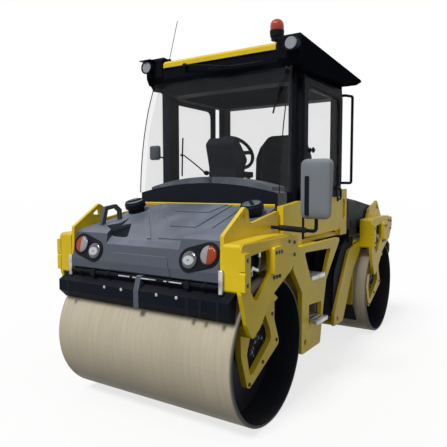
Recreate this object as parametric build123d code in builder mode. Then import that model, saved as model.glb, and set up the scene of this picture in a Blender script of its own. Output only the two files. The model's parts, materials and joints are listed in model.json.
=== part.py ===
"""Tandem road roller with a closed cab, steered by a joint in the middle of its frame.

Units are millimetres. +X is forwards, +Y is to the left and +Z is up. The origin is on the ground,
under the steering pin, midway between the two drums. An outline is a list of (x, z) points in side view,
measured from the place that its comment names.
"""

from build123d import *
import os
from math import cos, radians, sin, sqrt

os.makedirs("parts", exist_ok=True)

# Drums
WHEELBASE = 2900
DRUM_DIAMETER = 1100
DRUM_WIDTH = 1680
DRUM_WALL = 24
DRUM_EDGE_CHAMFER = 8
DISC_INSET = 250
DISC_THICKNESS = 30
HUB_BORE = 180
HUB_TUBE_WALL = 35

# Frame plates and boxes
FRAME_OVERHANG = 480
PLATE_INSET = 100
PLATE_THICKNESS = 30
PLATE_CORNER = 14
PLATE_FOOT_DROP = 40
PLATE_FOOT_LENGTH = 150
PLATE_ARCH_LENGTH = 120
DRUM_CLEARANCE = 60
DECK_GAP = 30
DECK_THICKNESS = 20
DECK_SETBACK = 70
BELLY_DROP = 200
BULKHEAD_REAR_X = 400
BULKHEAD_INSET = 150
SHELF_THICKNESS = 30
SHELF_SETBACK = 80
# Lifting peak and its hole, from the top of the drum above the hub
PEAK_EDGE = [(60, 405), (130, 390), (152, 500), (196, 520), (470, 340)]
PEAK_HOLE = [(184, 425), (199, 488), (274, 430)]
PEAK_HOLE_CORNER = 8
REAR_PEAK_EDGE = [(-360, 60), (-115, 395), (150, 470), (196, 490), (470, 205)]
REAR_PEAK_HOLE = [(160, 385), (192, 458), (262, 385)]

# Step plates under the cab doors, from the foot of the bulkhead's front face or from under the floor
STEP_PLATE_THICKNESS = 40
STEP_PLATE_CORNER = 25
STEP_PLATE_LAP = 35
STEP_SHOULDER_DROP = 390
STEP_TOP_REACH = (220, 190)
STEP_REAR_EDGE = [(-880, 0), (-510, -360), (-445, -595)]
STEP_FOOT_REACH = 375
UPPER_HOLE = [(-5, -57), (-624, -82), (-487, -320), (-155, -320)]
LOWER_HOLE = [(-110, 400), (-395, 380), (-400, 230), (-115, 230)]
STEP_HOLE_CORNER = 18
STEP_TREAD = 30
STEP_SIDE_GAP = 20
HANGER_THICKNESS = 10
UPPER_STEP_REACH = 10
LOWER_STEP_REACH = 75
STEP_TOE_ROUND = 20

# Drum forks, from the hub and the top of the drum
FORK_GAP = 6
FORK_ARM_THICKNESS = 32
FORK_ARM_CORNER = 38
FORK_BOX_REACH = 20
FORK_BOSS_REACH = 42
FORK_BOSS_CORNER = 16
FORK_ARMS = [
    (480, 285), (480, -40), (405, -260), (335, -375), (230, -320),
    (20, -110), (-290, 25), (-400, 170), (-400, 285),
]
FORK_WINDOW = [(385, 200), (85, 222), (70, 45), (285, -125), (376, -20)]
FORK_ARCH = [
    (480, -40), (480, 285), (60, 305), (-290, 300), (-340, 270), (-340, 60),
    (-190, 60), (-190, 205), (60, 222), (400, 200), (400, -40),
]
FORK_ARCH_CORNER = 24
FORK_FRONT_BOSS = [(410, -20), (485, -20), (485, 95), (478, 105), (485, 115), (485, 230), (410, 230)]
FORK_REAR_BOSS = [(-80, 30), (65, 30), (65, 230), (-80, 230)]
LOOP_INSET = 60
LOOP_THICKNESS = 45
LOOP_CORNER = 40
LOOP_OUTER = [
    (222, -240), (-275, -15), (-185, 190), (-185, 330),
    (-60, 430), (60, 430), (330, 250), (318, 30),
]
LOOP_INNER = [(188, -160), (-135, 45), (-118, 120), (-20, 285), (180, 175), (238, 30)]
FRONT_LINK = [(390, 270), (330, 180), (240, 230), (170, 300), (260, 370)]
REAR_LINK = [(60, 400), (-60, 360), (-110, 380), (0, 460), (40, 450)]

# Drum carriers behind the loops
CARRIER_THICKNESS = 30
CARRIER_CORNER = 60
CARRIER_PLATE = [(205, -190), (-225, -10), (-130, 300), (50, 370), (285, 220), (270, 0)]
MOTOR_GAP = 20
SPINDLE_DEPTH = 60

# Steering joint
PIN_DIAMETER = 100
PIN_CLEARANCE = 0.08
PIN_TAIL = 15
PIN_HEAD_RIM = 25
PIN_HEAD_HEIGHT = 20
EAR_THICKNESS = 45
EAR_RADIUS = 95
EAR_ROOT_HALF_WIDTH = 260
EAR_NECK_X = 40
EAR_GAP = 6
BARREL_RADIUS = 90
BARREL_BOTTOM_Z = 500
BARREL_HEIGHT = 350

# Beams, scrapers and sprinkler bars
BEAM_DEPTH = 60
BEAM_INSET = 10
BEAM_RISE = 18
SCRAPER_GAP = 8
SCRAPER_DROP = 240
SCRAPER_END_GAP = 20
SCRAPER_BLADE = 14
SCRAPER_NOSE = 65
SCRAPER_SKIN = 15
RIB_COUNT = 9
RIB_THICKNESS = 12
SPRAY_RADIUS = 18
SPRAY_FORWARD = 12
SPRAY_DROP = 8
INNER_SCRAPER_GAP = 5
INNER_SCRAPER_ANGLE = 219
INNER_SCRAPER_TIP = 14

# Tie-down holes
TIE_DOWN_RADIUS = 25
TIE_DOWN_SETBACK = 40
TIE_DOWN_RISE = 90
TIE_DOWN_REAR = (-105, 55)

# Front hood over the water tank, from the top of the drum or from the nose
HOOD_OVERHANG = 500
HOOD_CORNER = 12
HOOD_REAR_RISE = 500
HOOD_BREAK = (85, 262)
NOSE_TOP = (38, 222)
NOSE_EDGE_RISE = 90
NOSE_FOOT_RISE = 20
NOSE_LIP = 40
NOSE_UNDERCUT = 80
BROW_PROFILE = [(0, 90), (-60, 300), (-120, 325), (-530, 401), (-530, 300)]
BROW_INSET = (370, 150)
# Places on the nose: in from the hood's side, and up from its edge
HEADLAMP_PLACE = (245, 73)
HEADLAMP_RADIUS = 66
INDICATOR_PLACE = (92, 116)
INDICATOR_RADIUS = 68
LAMP_POD_RIM = 16
LAMP_POD_DEPTH = 22
LAMP_DEPTH = 30
LAMP_CHAMFER = 8
BADGE_INSET = 400
BADGE_TOP_INSET = 445
BADGE_LOW_RISE = 35
BADGE_HIGH_RISE = 162
BADGE_DEPTH = 8
BADGE_CORNER = 25
# Outlines on the hood's slope: down from its rear edge, and across as a share of its half width
PLATEAU_STEP = 7
PLATEAUS = [
    [(16, -0.733), (747, 0.131), (747, 0.586), (16, 0.606)],
    [(16, -0.674), (522, 0.046), (522, 0.396), (16, 0.437)],
    [(16, -0.550), (215, -0.194), (215, 0.285), (16, 0.380)],
]
RIDGE = [(770, 0), (770, 0.056), (300, -0.524), (325, -0.571)]
RIDGE_HEIGHT = 9
SCOOP = [(640, -0.768), (470, -0.592), (770, -0.282), (765, -0.493)]
SCOOP_CORNER = 20
SCOOP_DEPTH = 35
CAP_PLACE = (195, 105)
CAP_RADIUS = 92
CAP_HEIGHT = 52
NECK_RADIUS = 74
NECK_HEIGHT = 42
CAP_CHAMFER = 12
# Loop handle, from the hood's rear foot and the top of the drum
HANDLE_INSET = 110
HANDLE_WIDTH = 30
HANDLE_OUTER = [(640, 330), (590, 497), (460, 515), (398, 470), (390, 360)]
HANDLE_INNER = [(600, 310), (558, 468), (470, 482), (428, 450), (422, 330)]

# Cab
CAB_MOUNT_GAP = 150
FLOOR_THICKNESS = 30
CAB_INSET = 5
POST_INSET = 20
POST_WIDTH = 75
POST_DEPTH = 160
POST_ROUND = 20
FRONT_POST_X = 760
REAR_POST_X = -390
COWL_FRONT_X = 1100
HOOD_GAP = 5
COWL_DEPTH = 180
COWL_FOOT_RISE = 150
COWL_SIDE_RISE = 410
COWL_MID_RISE = 495
DASH_SETBACK = 60
DASH_DEPTH = 240
DASH_SIDE_RISE = 460
DASH_MID_RISE = 550
DASH_UNDER_RISE = 330
SILL_FRONT_RISE = 305
SILL_RISE = 340
SILL_REAR_RISE = 438
SIDE_PANEL_REACH = 35
WALL_THICKNESS = 20
RECESS_SIZE = (90, 210)
RECESS_RISE = 235
RECESS_DEPTH = 14
CAB_HEIGHT = 1450
ROOF_BEAM_HEIGHT = 100
GLASS_THICKNESS = 8
GLASS_FOOT_SETBACK = 4
GLASS_BELLY = (75, 980)
GLASS_HEAD_SETBACK = 35
QUARTER_GAP = 40
REAR_GLASS_CORNER = 90

# Roof, from under its middle
ROOF_FRONT_X = 905
ROOF_FASCIA = [(905, 60), (905, 215), (880, 248), (-670, 154), (-705, 125), (-546, 69), (-210, 0), (870, 0)]
ROOF_LIP = [(872, 30), (880, 90), (-560, 90), (-546, 69), (-210, 4), (808, -45)]
ROOF_FASCIA_INSET = 125
ROOF_FASCIA_REACH = 85
ROOF_LIP_THICKNESS = 35
ROOF_FASCIA_ROUND = 16
ROOF_MIDDLE = [(-600, 0), (872, 0), (890, 40), (890, 140), (-620, 140)]
ROOF_CAP = [(-570, 140), (905, 140), (905, 178), (885, 200), (-300, 200), (-560, 170)]
ROOF_CAP_INSET = 140

# Doors
DOOR_THICKNESS = 30
DOOR_GAP = 8
DOOR_FRONT_X = 690
DOOR_REAR_X = -215
DOOR_LOW_GAP = 30
DOOR_TOP_GAP = 60
DOOR_FRAME_WIDTH = 60
DOOR_SILL_RISE = 420
DOOR_GLASS_CORNER = 70
DOOR_PANEL_CORNER = 50
DOOR_HINGE_RADIUS = 15
HINGE_PIN_RADIUS = 8
HINGE_PIN_LENGTH = 80
HINGE_CLEARANCE = 0.08
HINGE_PLATE = 18
HINGE_END_GAP = 2
SEAT_GAP = 0.3
RUNNING_GAP = 0.3

# Handrails and mirror
RAIL_RADIUS = 14
RAIL_SIDES = 8
RAIL_LOW_RISE = 500
RAIL_TOP_GAP = 60
RAIL_BEHIND = 60
RAIL_FOOT = 40
RAIL_STAND = 65
RAIL_KNEE = 25
RAIL_BEND = 18
ARM_RADIUS = 14
ARM_BEND = 25
ARM_FOOT = (140, 350)
ARM_STUB = 50
ARM_HAND = (5, 310)
ARM_DROP = 30
ARM_RISE = 95
MIRROR_DEPTH = 55
MIRROR_WIDTH = 245
MIRROR_HEIGHT = 455
MIRROR_ROUND = 45
MIRROR_TAPER = 15
MIRROR_GLASS_RIM = 14
MIRROR_GLASS_DEPTH = 6

# Roof lamps, beacon and aerial
WORK_LAMP_RADIUS = 55
WORK_LAMP_DEPTH = 60
WORK_LAMP_RISE = 155
WORK_LAMP_REACH = 22
BEACON_X = 780
BEACON_INSET = 190
BEACON_STALK = 50
BEACON_STALK_RADIUS = 16
BEACON_RADIUS = 50
BEACON_BASE_HEIGHT = 55
DOME_RADIUS = 46
DOME_HEIGHT = 88
DOME_TAPER = 4
DOME_SIDES = 32
DOME_CHAMFER = 16
ANTENNA_X = 850
ANTENNA_INSET = 170
ANTENNA_FOOT_RADIUS = 16
ANTENNA_FOOT_HEIGHT = 30
ANTENNA_ROD_RADIUS = 3
ANTENNA_LENGTH = 420
ANTENNA_LEAN = 18

# Driver's place, from the floor
SEAT_Y = 80
SEAT_BASE = [(-130, 0), (230, 0), (250, 120), (210, 160), (240, 310), (-110, 310), (-90, 160), (-150, 120)]
SEAT_BASE_WIDTH = 380
SEAT_RISE = 310
CUSHION_REAR_X = -120
CUSHION_LENGTH = 450
CUSHION_WIDTH = 480
CUSHION_THICKNESS = 120
CUSHION_ROUND = 30
SEAT_BACK = [(0, 20), (-85, 655), (-180, 645), (-130, 20)]
SEAT_BACK_WIDTH = 460
SEAT_BACK_ROUND = 60
CONSOLE_Y = -60
CONSOLE_WIDTH = 300
CONSOLE = [(620, 0), (740, 0), (700, 640), (760, 860), (690, 930), (556, 796), (492, 719.5), (540, 640)]
CONSOLE_ROUND = 20
WHEEL_PLACE = (470, 790)
WHEEL_TILT = 50
WHEEL_RADIUS = 185
WHEEL_RIM = 16
WHEEL_SIDES = 36
WHEEL_RIM_CHAMFER = 9
WHEEL_SPOKE = 36
WHEEL_SPOKE_THICKNESS = 14
WHEEL_HUB_RADIUS = 45
WHEEL_HUB_HEIGHT = 40
WHEEL_SHAFT_RADIUS = 22
WHEEL_SHAFT_LENGTH = 62

# Rear frame
CORE_FRONT_X = -250
CORE_INSET = 240
CORE_FOOT_RISE = 50
REAR_WALL_RISE = 70
REAR_ARCH_AHEAD = 330
REAR_LEG_UNDER = [(-760, -285), (-430, -800)]
REAR_LEG_OVER = [(-175, -670), (-600, -60), (-1010, 0)]
REAR_LEG_TOE = (-165, -800)
REAR_FOOT_REACH = 160
REAR_FOOT_THICKNESS = 40
COVER_THICKNESS = 25
COVER_OUTLINE = [(0, -180), (260, -650), (640, -650), (585, -250), (400, -30), (180, 70), (0, 70)]
COVER_CORNER = 25
COVER_RIB = 40
ENGINE_AHEAD = 440
ENGINE_BEHIND = 230
ENGINE_HALF_WIDTH = 330
ENGINE_HEIGHT = 290
ENGINE_CHAMFER = 60

# Rear hood, from the hood's foot
HOOD_SWEEP_RADIUS = 950
HOOD_WALL = 12
HOOD_SIDE_GAP = 10
HOOD_REAR_LAP = 20
HOOD_TOP_RISE = 335
HOOD_FALL = [(-700, 335), (-1500, 230)]
HOOD_TAIL = (90, 140)
HOOD_TAIL_RISE = 30
HOOD_ROUND = 30
LOUVRE_COUNT = 7
LOUVRE_PITCH = 62
LOUVRE_SIZE = (38, 130)
LOUVRE_START_X = -1240
LOUVRE_RISE = 110
HOOD_AXIS_INSET = 45
HOOD_AXIS_RISE = 20
HOOD_EAR_SIDE_INSET = 280
HOOD_EAR_WIDTH = 24
HOOD_EAR_GAP = 8
HOOD_EAR_HEIGHT = 18
HOOD_EAR_DROP = 60
HOOD_EAR_INSET = 25
HOOD_TUBE_RADIUS = 22
HOOD_TUBE_LENGTH = 72
HOOD_TUBE_WEB = 12
HOOD_PIN_RADIUS = 12
HOOD_NOTCH = (40, 30)
REAR_PANEL_GAP = 40
REAR_PANEL_THICKNESS = 30
REAR_PANEL_RISE = 20
REAR_SLOT_SIZE = (90, 22)
REAR_SLOT_PITCH = (130, 45)
REAR_SLOT_COUNT = (5, 2)
REAR_LAMP_INSET = 170
REAR_LAMP_DROP = 55
REAR_LAMP_RADIUS = 52

# Places worked out from the driving dimensions
HUB_X = WHEELBASE / 2
DRUM_RADIUS = DRUM_DIAMETER / 2
HUB_Z = DRUM_RADIUS
BELLY_Z = HUB_Z - BELLY_DROP
DRUM_TOP_Z = DRUM_DIAMETER
DRUM_EDGE_Y = DRUM_WIDTH / 2
DISC_OUTER_Y = DRUM_EDGE_Y - DISC_INSET
HUB_TUBE_RADIUS = HUB_BORE / 2 + HUB_TUBE_WALL
DECK_Z = DRUM_TOP_Z + DECK_GAP
DECK_TOP_Z = DECK_Z + DECK_THICKNESS
FRAME_END_X = HUB_X + FRAME_OVERHANG
PLATE_OUTER_Y = DRUM_EDGE_Y - PLATE_INSET
PLATE_INNER_Y = PLATE_OUTER_Y - PLATE_THICKNESS
BULKHEAD_FRONT_X = HUB_X - DRUM_RADIUS - DRUM_CLEARANCE
BULKHEAD_HALF_WIDTH = PLATE_OUTER_Y - BULKHEAD_INSET
STEP_PLATE_Y = DRUM_EDGE_Y
STEP_PLATE_INNER_Y = STEP_PLATE_Y - STEP_PLATE_THICKNESS
FORK_ARM_INNER_Y = DRUM_EDGE_Y + FORK_GAP
FORK_ARM_OUTER_Y = FORK_ARM_INNER_Y + FORK_ARM_THICKNESS
FORK_BOX_OUTER_Y = FORK_ARM_INNER_Y + FORK_BOX_REACH
FORK_BOSS_OUTER_Y = FORK_BOX_OUTER_Y + FORK_BOSS_REACH
LOOP_OUTER_Y = DRUM_EDGE_Y - LOOP_INSET
LOOP_INNER_Y = LOOP_OUTER_Y - LOOP_THICKNESS
BARREL_TOP_Z = BARREL_BOTTOM_Z + BARREL_HEIGHT
LOW_EAR_Z = BARREL_BOTTOM_Z - EAR_GAP - EAR_THICKNESS
HIGH_EAR_Z = BARREL_TOP_Z + EAR_GAP
FLOOR_TOP_Z = DECK_TOP_Z + CAB_MOUNT_GAP
FLOOR_UNDER_Z = FLOOR_TOP_Z - FLOOR_THICKNESS
CAB_HALF_WIDTH = PLATE_OUTER_Y - CAB_INSET
POST_OUTER_Y = CAB_HALF_WIDTH - POST_INSET
POST_INNER_Y = POST_OUTER_Y - POST_WIDTH
SILL_REAR_Z = FLOOR_TOP_Z + SILL_REAR_RISE
ROOF_UNDER_Z = FLOOR_TOP_Z + CAB_HEIGHT
ROOF_CAP_TOP_Z = ROOF_UNDER_Z + max(z for x, z in ROOF_CAP)
HOOD_FOOT_X = COWL_FRONT_X + HOOD_GAP
HOOD_NOSE_X = HUB_X + HOOD_OVERHANG
HOOD_HALF_WIDTH = PLATE_INNER_Y - SEAT_GAP
HEADLAMP_Y = HOOD_HALF_WIDTH - HEADLAMP_PLACE[0]
INDICATOR_Y = HOOD_HALF_WIDTH - INDICATOR_PLACE[0]
BADGE_HALF_WIDTH = HOOD_HALF_WIDTH - BADGE_INSET
BADGE_TOP_HALF_WIDTH = HOOD_HALF_WIDTH - BADGE_TOP_INSET
CAP_Y = HOOD_HALF_WIDTH - CAP_PLACE[1]
HANDLE_Y = HOOD_HALF_WIDTH - HANDLE_INSET
DOOR_INNER_Y = CAB_HALF_WIDTH + DOOR_GAP
DOOR_OUTER_Y = DOOR_INNER_Y + DOOR_THICKNESS
DOOR_AXIS_X = DOOR_FRONT_X + DOOR_HINGE_RADIUS
DOOR_AXIS_Y = DOOR_INNER_Y + DOOR_THICKNESS / 2
DOOR_BOTTOM_Z = FLOOR_TOP_Z + DOOR_LOW_GAP
DOOR_TOP_Z = ROOF_UNDER_Z - DOOR_TOP_GAP
DOOR_WINDOW_Z = FLOOR_TOP_Z + DOOR_SILL_RISE
REAR_WALL_X = -BULKHEAD_FRONT_X
REAR_WALL_FRONT_X = REAR_WALL_X + DECK_THICKNESS
CORE_HALF_WIDTH = PLATE_OUTER_Y - CORE_INSET
HOOD_BOTTOM_Z = FLOOR_TOP_Z
HOOD_REAR_X = -FRAME_END_X - HOOD_REAR_LAP
REAR_HOOD_HALF_WIDTH = PLATE_INNER_Y - HOOD_SIDE_GAP
HOOD_EAR_Y = REAR_HOOD_HALF_WIDTH - HOOD_EAR_SIDE_INSET
REAR_LAMP_Y = PLATE_INNER_Y - REAR_LAMP_INSET
HOOD_AXIS = (HOOD_REAR_X + HOOD_AXIS_INSET, HOOD_BOTTOM_Z + HOOD_AXIS_RISE)
REAR_PANEL_TOP_Z = HOOD_BOTTOM_Z - REAR_PANEL_GAP

# Plane of the hood's slope: sketch x runs down from its rear edge and sketch y is across
HOOD_REAR_TOP_Z = DRUM_TOP_Z + HOOD_REAR_RISE
SLOPE_RUN = HOOD_NOSE_X - HOOD_BREAK[0] - HOOD_FOOT_X
SLOPE_FALL = HOOD_REAR_RISE - HOOD_BREAK[1]
SLOPE_PLANE = Plane(
    origin=(HOOD_FOOT_X, 0, HOOD_REAR_TOP_Z),
    x_dir=(SLOPE_RUN, 0, -SLOPE_FALL),
    z_dir=(SLOPE_FALL, 0, SLOPE_RUN),
)
# Plane of the hood's nose: sketch x is across and sketch y runs up from its edge
NOSE_EDGE_Z = DRUM_TOP_Z + NOSE_EDGE_RISE
NOSE_PLANE = Plane(
    origin=(HOOD_NOSE_X, 0, NOSE_EDGE_Z),
    x_dir=(0, 1, 0),
    z_dir=(NOSE_TOP[1] - NOSE_EDGE_RISE, 0, NOSE_TOP[0]),
)


def side_plane(y):
    """Sketch plane across the machine at y. Sketch x is forwards and sketch y is up."""
    return Plane.XZ.offset(-y)


def save(builder, name):
    """Labels a finished piece and writes its STEP file."""
    builder.part.label = name
    export_step(builder.part, f"parts/{name}.step")


def moved(points, x, z):
    """The same outline, measured from (x, z)."""
    return [(x + point[0], z + point[1]) for point in points]


def turned(points):
    """The same outline, seen from the other side."""
    return [(-x, z) for x, z in points]


def across(points):
    """Points on the hood's slope, from shares of its half width."""
    return [(x, share * HOOD_HALF_WIDTH) for x, share in points]


def slab(points, y_low, y_high, corner=0, mode=Mode.ADD):
    """Adds or cuts a plate with the given outline of (x, z) points, its corners rounded."""
    with BuildSketch(side_plane(y_low)) as outline:
        with BuildLine():
            Polyline(*points, close=True)
        make_face()
        if corner:
            fillet(outline.vertices(), corner)
    extrude(outline.sketch, amount=y_low - y_high, mode=mode)


def block(x_low, x_high, y_low, y_high, z_low, z_high, mode=Mode.ADD):
    """Adds or cuts a rectangular block between the given limits."""
    with Locations(((x_low + x_high) / 2, (y_low + y_high) / 2, (z_low + z_high) / 2)):
        Box(x_high - x_low, y_high - y_low, z_high - z_low, mode=mode)


def round_bar(x, z, radius, y_low, y_high, mode=Mode.ADD):
    """Adds or cuts a round bar that lies across the machine."""
    with BuildSketch(side_plane(y_low)) as end:
        with Locations((x, z)):
            Circle(radius)
    extrude(end.sketch, amount=y_low - y_high, mode=mode)


def upright(x, y, radius, z_low, z_high, mode=Mode.ADD):
    """Adds or cuts an upright round bar."""
    with BuildSketch(Plane.XY.offset(z_low)) as end:
        with Locations((x, y)):
            Circle(radius)
    extrude(end.sketch, amount=z_high - z_low, mode=mode)


def on_side(side, y_near, y_far):
    """Limits in y of something between two distances from the middle, on the left (1) or right (-1)."""
    return sorted((side * y_near, side * y_far))


def both_sides(builder, name):
    """Saves a left piece and its mirror image on the right as one node."""
    with BuildPart() as pair:
        add(builder.part)
        mirror(builder.part, about=Plane.XZ)
    save(pair, name)


# Drums: a shell, two set-back end discs and a hub tube with a bearing bore, turned in one profile
def make_drum(hub_x, name):
    """One smooth steel drum."""
    shell_inner = DRUM_RADIUS - DRUM_WALL
    disc_inner_y = DISC_OUTER_Y - DISC_THICKNESS
    with BuildPart() as drum:
        with BuildSketch(Plane.XY):
            with BuildLine():
                Polyline(
                    (DRUM_RADIUS, 0),
                    (DRUM_RADIUS, DRUM_EDGE_Y - DRUM_EDGE_CHAMFER),
                    (DRUM_RADIUS - DRUM_EDGE_CHAMFER, DRUM_EDGE_Y),
                    (shell_inner, DRUM_EDGE_Y),
                    (shell_inner, DISC_OUTER_Y),
                    (HUB_BORE / 2, DISC_OUTER_Y),
                    (HUB_BORE / 2, 0),
                    (HUB_TUBE_RADIUS, 0),
                    (HUB_TUBE_RADIUS, disc_inner_y),
                    (shell_inner, disc_inner_y),
                    (shell_inner, 0),
                    close=True,
                )
            make_face()
            mirror(about=Plane.XZ)
        revolve(axis=Axis.Y)
    with BuildPart() as placed:
        with Locations((hub_x, 0, HUB_Z)):
            add(drum.part)
    save(placed, name)


make_drum(HUB_X, "front_drum")
make_drum(-HUB_X, "rear_drum")

# Drum forks: an arched box on the side plate, two arms round a window outside the drum,
# and a leaf-shaped loop round the hub inside the drum's edge
with BuildPart() as fork:
    slab(moved(FORK_ARMS, 0, DRUM_TOP_Z), FORK_ARM_INNER_Y, FORK_ARM_OUTER_Y, FORK_ARM_CORNER)
    slab(
        moved(FORK_WINDOW, 0, DRUM_TOP_Z),
        FORK_ARM_INNER_Y,
        FORK_ARM_OUTER_Y,
        FORK_ARM_CORNER,
        Mode.SUBTRACT,
    )
    slab(moved(FORK_ARCH, 0, DRUM_TOP_Z), PLATE_OUTER_Y, FORK_BOX_OUTER_Y, FORK_ARCH_CORNER)
    slab(moved(FORK_FRONT_BOSS, 0, DRUM_TOP_Z), FORK_BOX_OUTER_Y, FORK_BOSS_OUTER_Y)
    slab(moved(FORK_REAR_BOSS, 0, DRUM_TOP_Z), FORK_ARM_INNER_Y, FORK_BOSS_OUTER_Y, FORK_BOSS_CORNER)
    slab(moved(LOOP_OUTER, 0, HUB_Z), LOOP_INNER_Y, LOOP_OUTER_Y, LOOP_CORNER)
    slab(moved(LOOP_INNER, 0, HUB_Z), LOOP_INNER_Y, LOOP_OUTER_Y, LOOP_CORNER, Mode.SUBTRACT)
    slab(moved(FRONT_LINK, 0, HUB_Z), LOOP_INNER_Y, FORK_ARM_OUTER_Y, FORK_BOSS_CORNER)
    slab(moved(REAR_LINK, 0, HUB_Z), LOOP_INNER_Y, FORK_ARM_INNER_Y)

for hub_x, end in ((HUB_X, "front"), (-HUB_X, "rear")):
    with BuildPart() as fork_left:
        with Locations((hub_x, 0, 0)):
            add(fork.part)
    save(fork_left, f"{end}_fork_left")
    with BuildPart() as fork_right:
        mirror(fork_left.part, about=Plane.XZ)
    save(fork_right, f"{end}_fork_right")

# Drum carriers: a rubber-mounted plate behind each loop, the drive motor and the spindle
for hub_x, end in ((HUB_X, "front"), (-HUB_X, "rear")):
    with BuildPart() as carrier:
        carrier_inner_y = LOOP_INNER_Y - CARRIER_THICKNESS
        slab(moved(CARRIER_PLATE, hub_x, HUB_Z), carrier_inner_y, LOOP_INNER_Y, CARRIER_CORNER)
        round_bar(hub_x, HUB_Z, HUB_TUBE_RADIUS, DISC_OUTER_Y + MOTOR_GAP, LOOP_INNER_Y)
        round_bar(hub_x, HUB_Z, HUB_BORE / 2 - RUNNING_GAP, DISC_OUTER_Y - SPINDLE_DEPTH, LOOP_INNER_Y)
    both_sides(carrier, f"{end}_drum_carriers")

# Front frame: side plates with lifting peaks
with BuildPart() as front_plate:
    slab(
        [
            (FRAME_END_X, DRUM_TOP_Z - PLATE_FOOT_DROP),
            (FRAME_END_X - PLATE_FOOT_LENGTH, DRUM_TOP_Z - PLATE_FOOT_DROP),
            (FRAME_END_X - PLATE_FOOT_LENGTH - PLATE_ARCH_LENGTH, DECK_Z),
            (BULKHEAD_FRONT_X, DECK_Z),
            (BULKHEAD_FRONT_X, FLOOR_UNDER_Z),
            (HOOD_FOOT_X + PLATE_CORNER, FLOOR_UNDER_Z),
            (HOOD_FOOT_X + PLATE_CORNER, HOOD_REAR_TOP_Z - PLATE_CORNER * 2),
            *moved(PEAK_EDGE, HUB_X, DRUM_TOP_Z),
        ],
        PLATE_INNER_Y,
        PLATE_OUTER_Y,
        PLATE_CORNER,
    )
    slab(moved(PEAK_HOLE, HUB_X, DRUM_TOP_Z), PLATE_INNER_Y, PLATE_OUTER_Y, PEAK_HOLE_CORNER, Mode.SUBTRACT)
both_sides(front_plate, "front_side_plates")

# Bulkhead box behind the front drum, with the deck over the drum and the ears of the steering joint
with BuildPart() as front_bulkhead:
    block(
        BULKHEAD_REAR_X,
        BULKHEAD_FRONT_X,
        -BULKHEAD_HALF_WIDTH,
        BULKHEAD_HALF_WIDTH,
        BELLY_Z,
        FLOOR_UNDER_Z,
    )
    for shelf_z in (BELLY_Z, FLOOR_UNDER_Z - SHELF_THICKNESS):
        block(
            BULKHEAD_REAR_X + SHELF_SETBACK,
            BULKHEAD_FRONT_X,
            -STEP_PLATE_INNER_Y,
            STEP_PLATE_INNER_Y,
            shelf_z,
            shelf_z + SHELF_THICKNESS,
        )
    block(BULKHEAD_FRONT_X, FRAME_END_X - DECK_SETBACK, -PLATE_INNER_Y, PLATE_INNER_Y, DECK_Z, DECK_TOP_Z)
    for ear_z in (LOW_EAR_Z, HIGH_EAR_Z):
        with BuildSketch(Plane.XY.offset(ear_z)):
            with BuildLine():
                Polyline(
                    (0, EAR_RADIUS),
                    (EAR_NECK_X, EAR_RADIUS),
                    (BULKHEAD_REAR_X, EAR_ROOT_HALF_WIDTH),
                    (BULKHEAD_REAR_X, -EAR_ROOT_HALF_WIDTH),
                    (EAR_NECK_X, -EAR_RADIUS),
                    (0, -EAR_RADIUS),
                )
                ThreePointArc((0, -EAR_RADIUS), (-EAR_RADIUS, 0), (0, EAR_RADIUS))
            make_face()
            Circle(PIN_DIAMETER / 2 + SEAT_GAP, mode=Mode.SUBTRACT)
        extrude(amount=EAR_THICKNESS)
save(front_bulkhead, "front_bulkhead")

with BuildPart() as articulation_pin:
    upright(0, 0, PIN_DIAMETER / 2, LOW_EAR_Z - PIN_TAIL, HIGH_EAR_Z + EAR_THICKNESS)
    upright(
        0,
        0,
        PIN_DIAMETER / 2 + PIN_HEAD_RIM,
        HIGH_EAR_Z + EAR_THICKNESS,
        HIGH_EAR_Z + EAR_THICKNESS + PIN_HEAD_HEIGHT,
    )
save(articulation_pin, "articulation_pin")

# Step plates with two foot holes, and the steps between them and the bulkhead
with BuildPart() as step_plate:
    slab(
        [
            (BULKHEAD_FRONT_X + STEP_PLATE_LAP, BELLY_Z),
            (BULKHEAD_FRONT_X + STEP_PLATE_LAP, FLOOR_UNDER_Z - STEP_SHOULDER_DROP),
            (BULKHEAD_FRONT_X + STEP_TOP_REACH[0], DRUM_TOP_Z),
            (BULKHEAD_FRONT_X + STEP_TOP_REACH[1], FLOOR_UNDER_Z),
            *moved(STEP_REAR_EDGE, BULKHEAD_FRONT_X, FLOOR_UNDER_Z),
            (BULKHEAD_FRONT_X - STEP_FOOT_REACH, BELLY_Z),
        ],
        STEP_PLATE_INNER_Y,
        STEP_PLATE_Y,
        STEP_PLATE_CORNER,
    )
    for hole, hole_z in ((UPPER_HOLE, FLOOR_UNDER_Z), (LOWER_HOLE, BELLY_Z)):
        slab(
            moved(hole, BULKHEAD_FRONT_X, hole_z),
            STEP_PLATE_INNER_Y,
            STEP_PLATE_Y,
            STEP_HOLE_CORNER,
            Mode.SUBTRACT,
        )
    round_bar(
        BULKHEAD_FRONT_X - TIE_DOWN_SETBACK,
        BELLY_Z + TIE_DOWN_RISE,
        TIE_DOWN_RADIUS,
        STEP_PLATE_INNER_Y,
        STEP_PLATE_Y,
        Mode.SUBTRACT,
    )
both_sides(step_plate, "step_plates")

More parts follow.
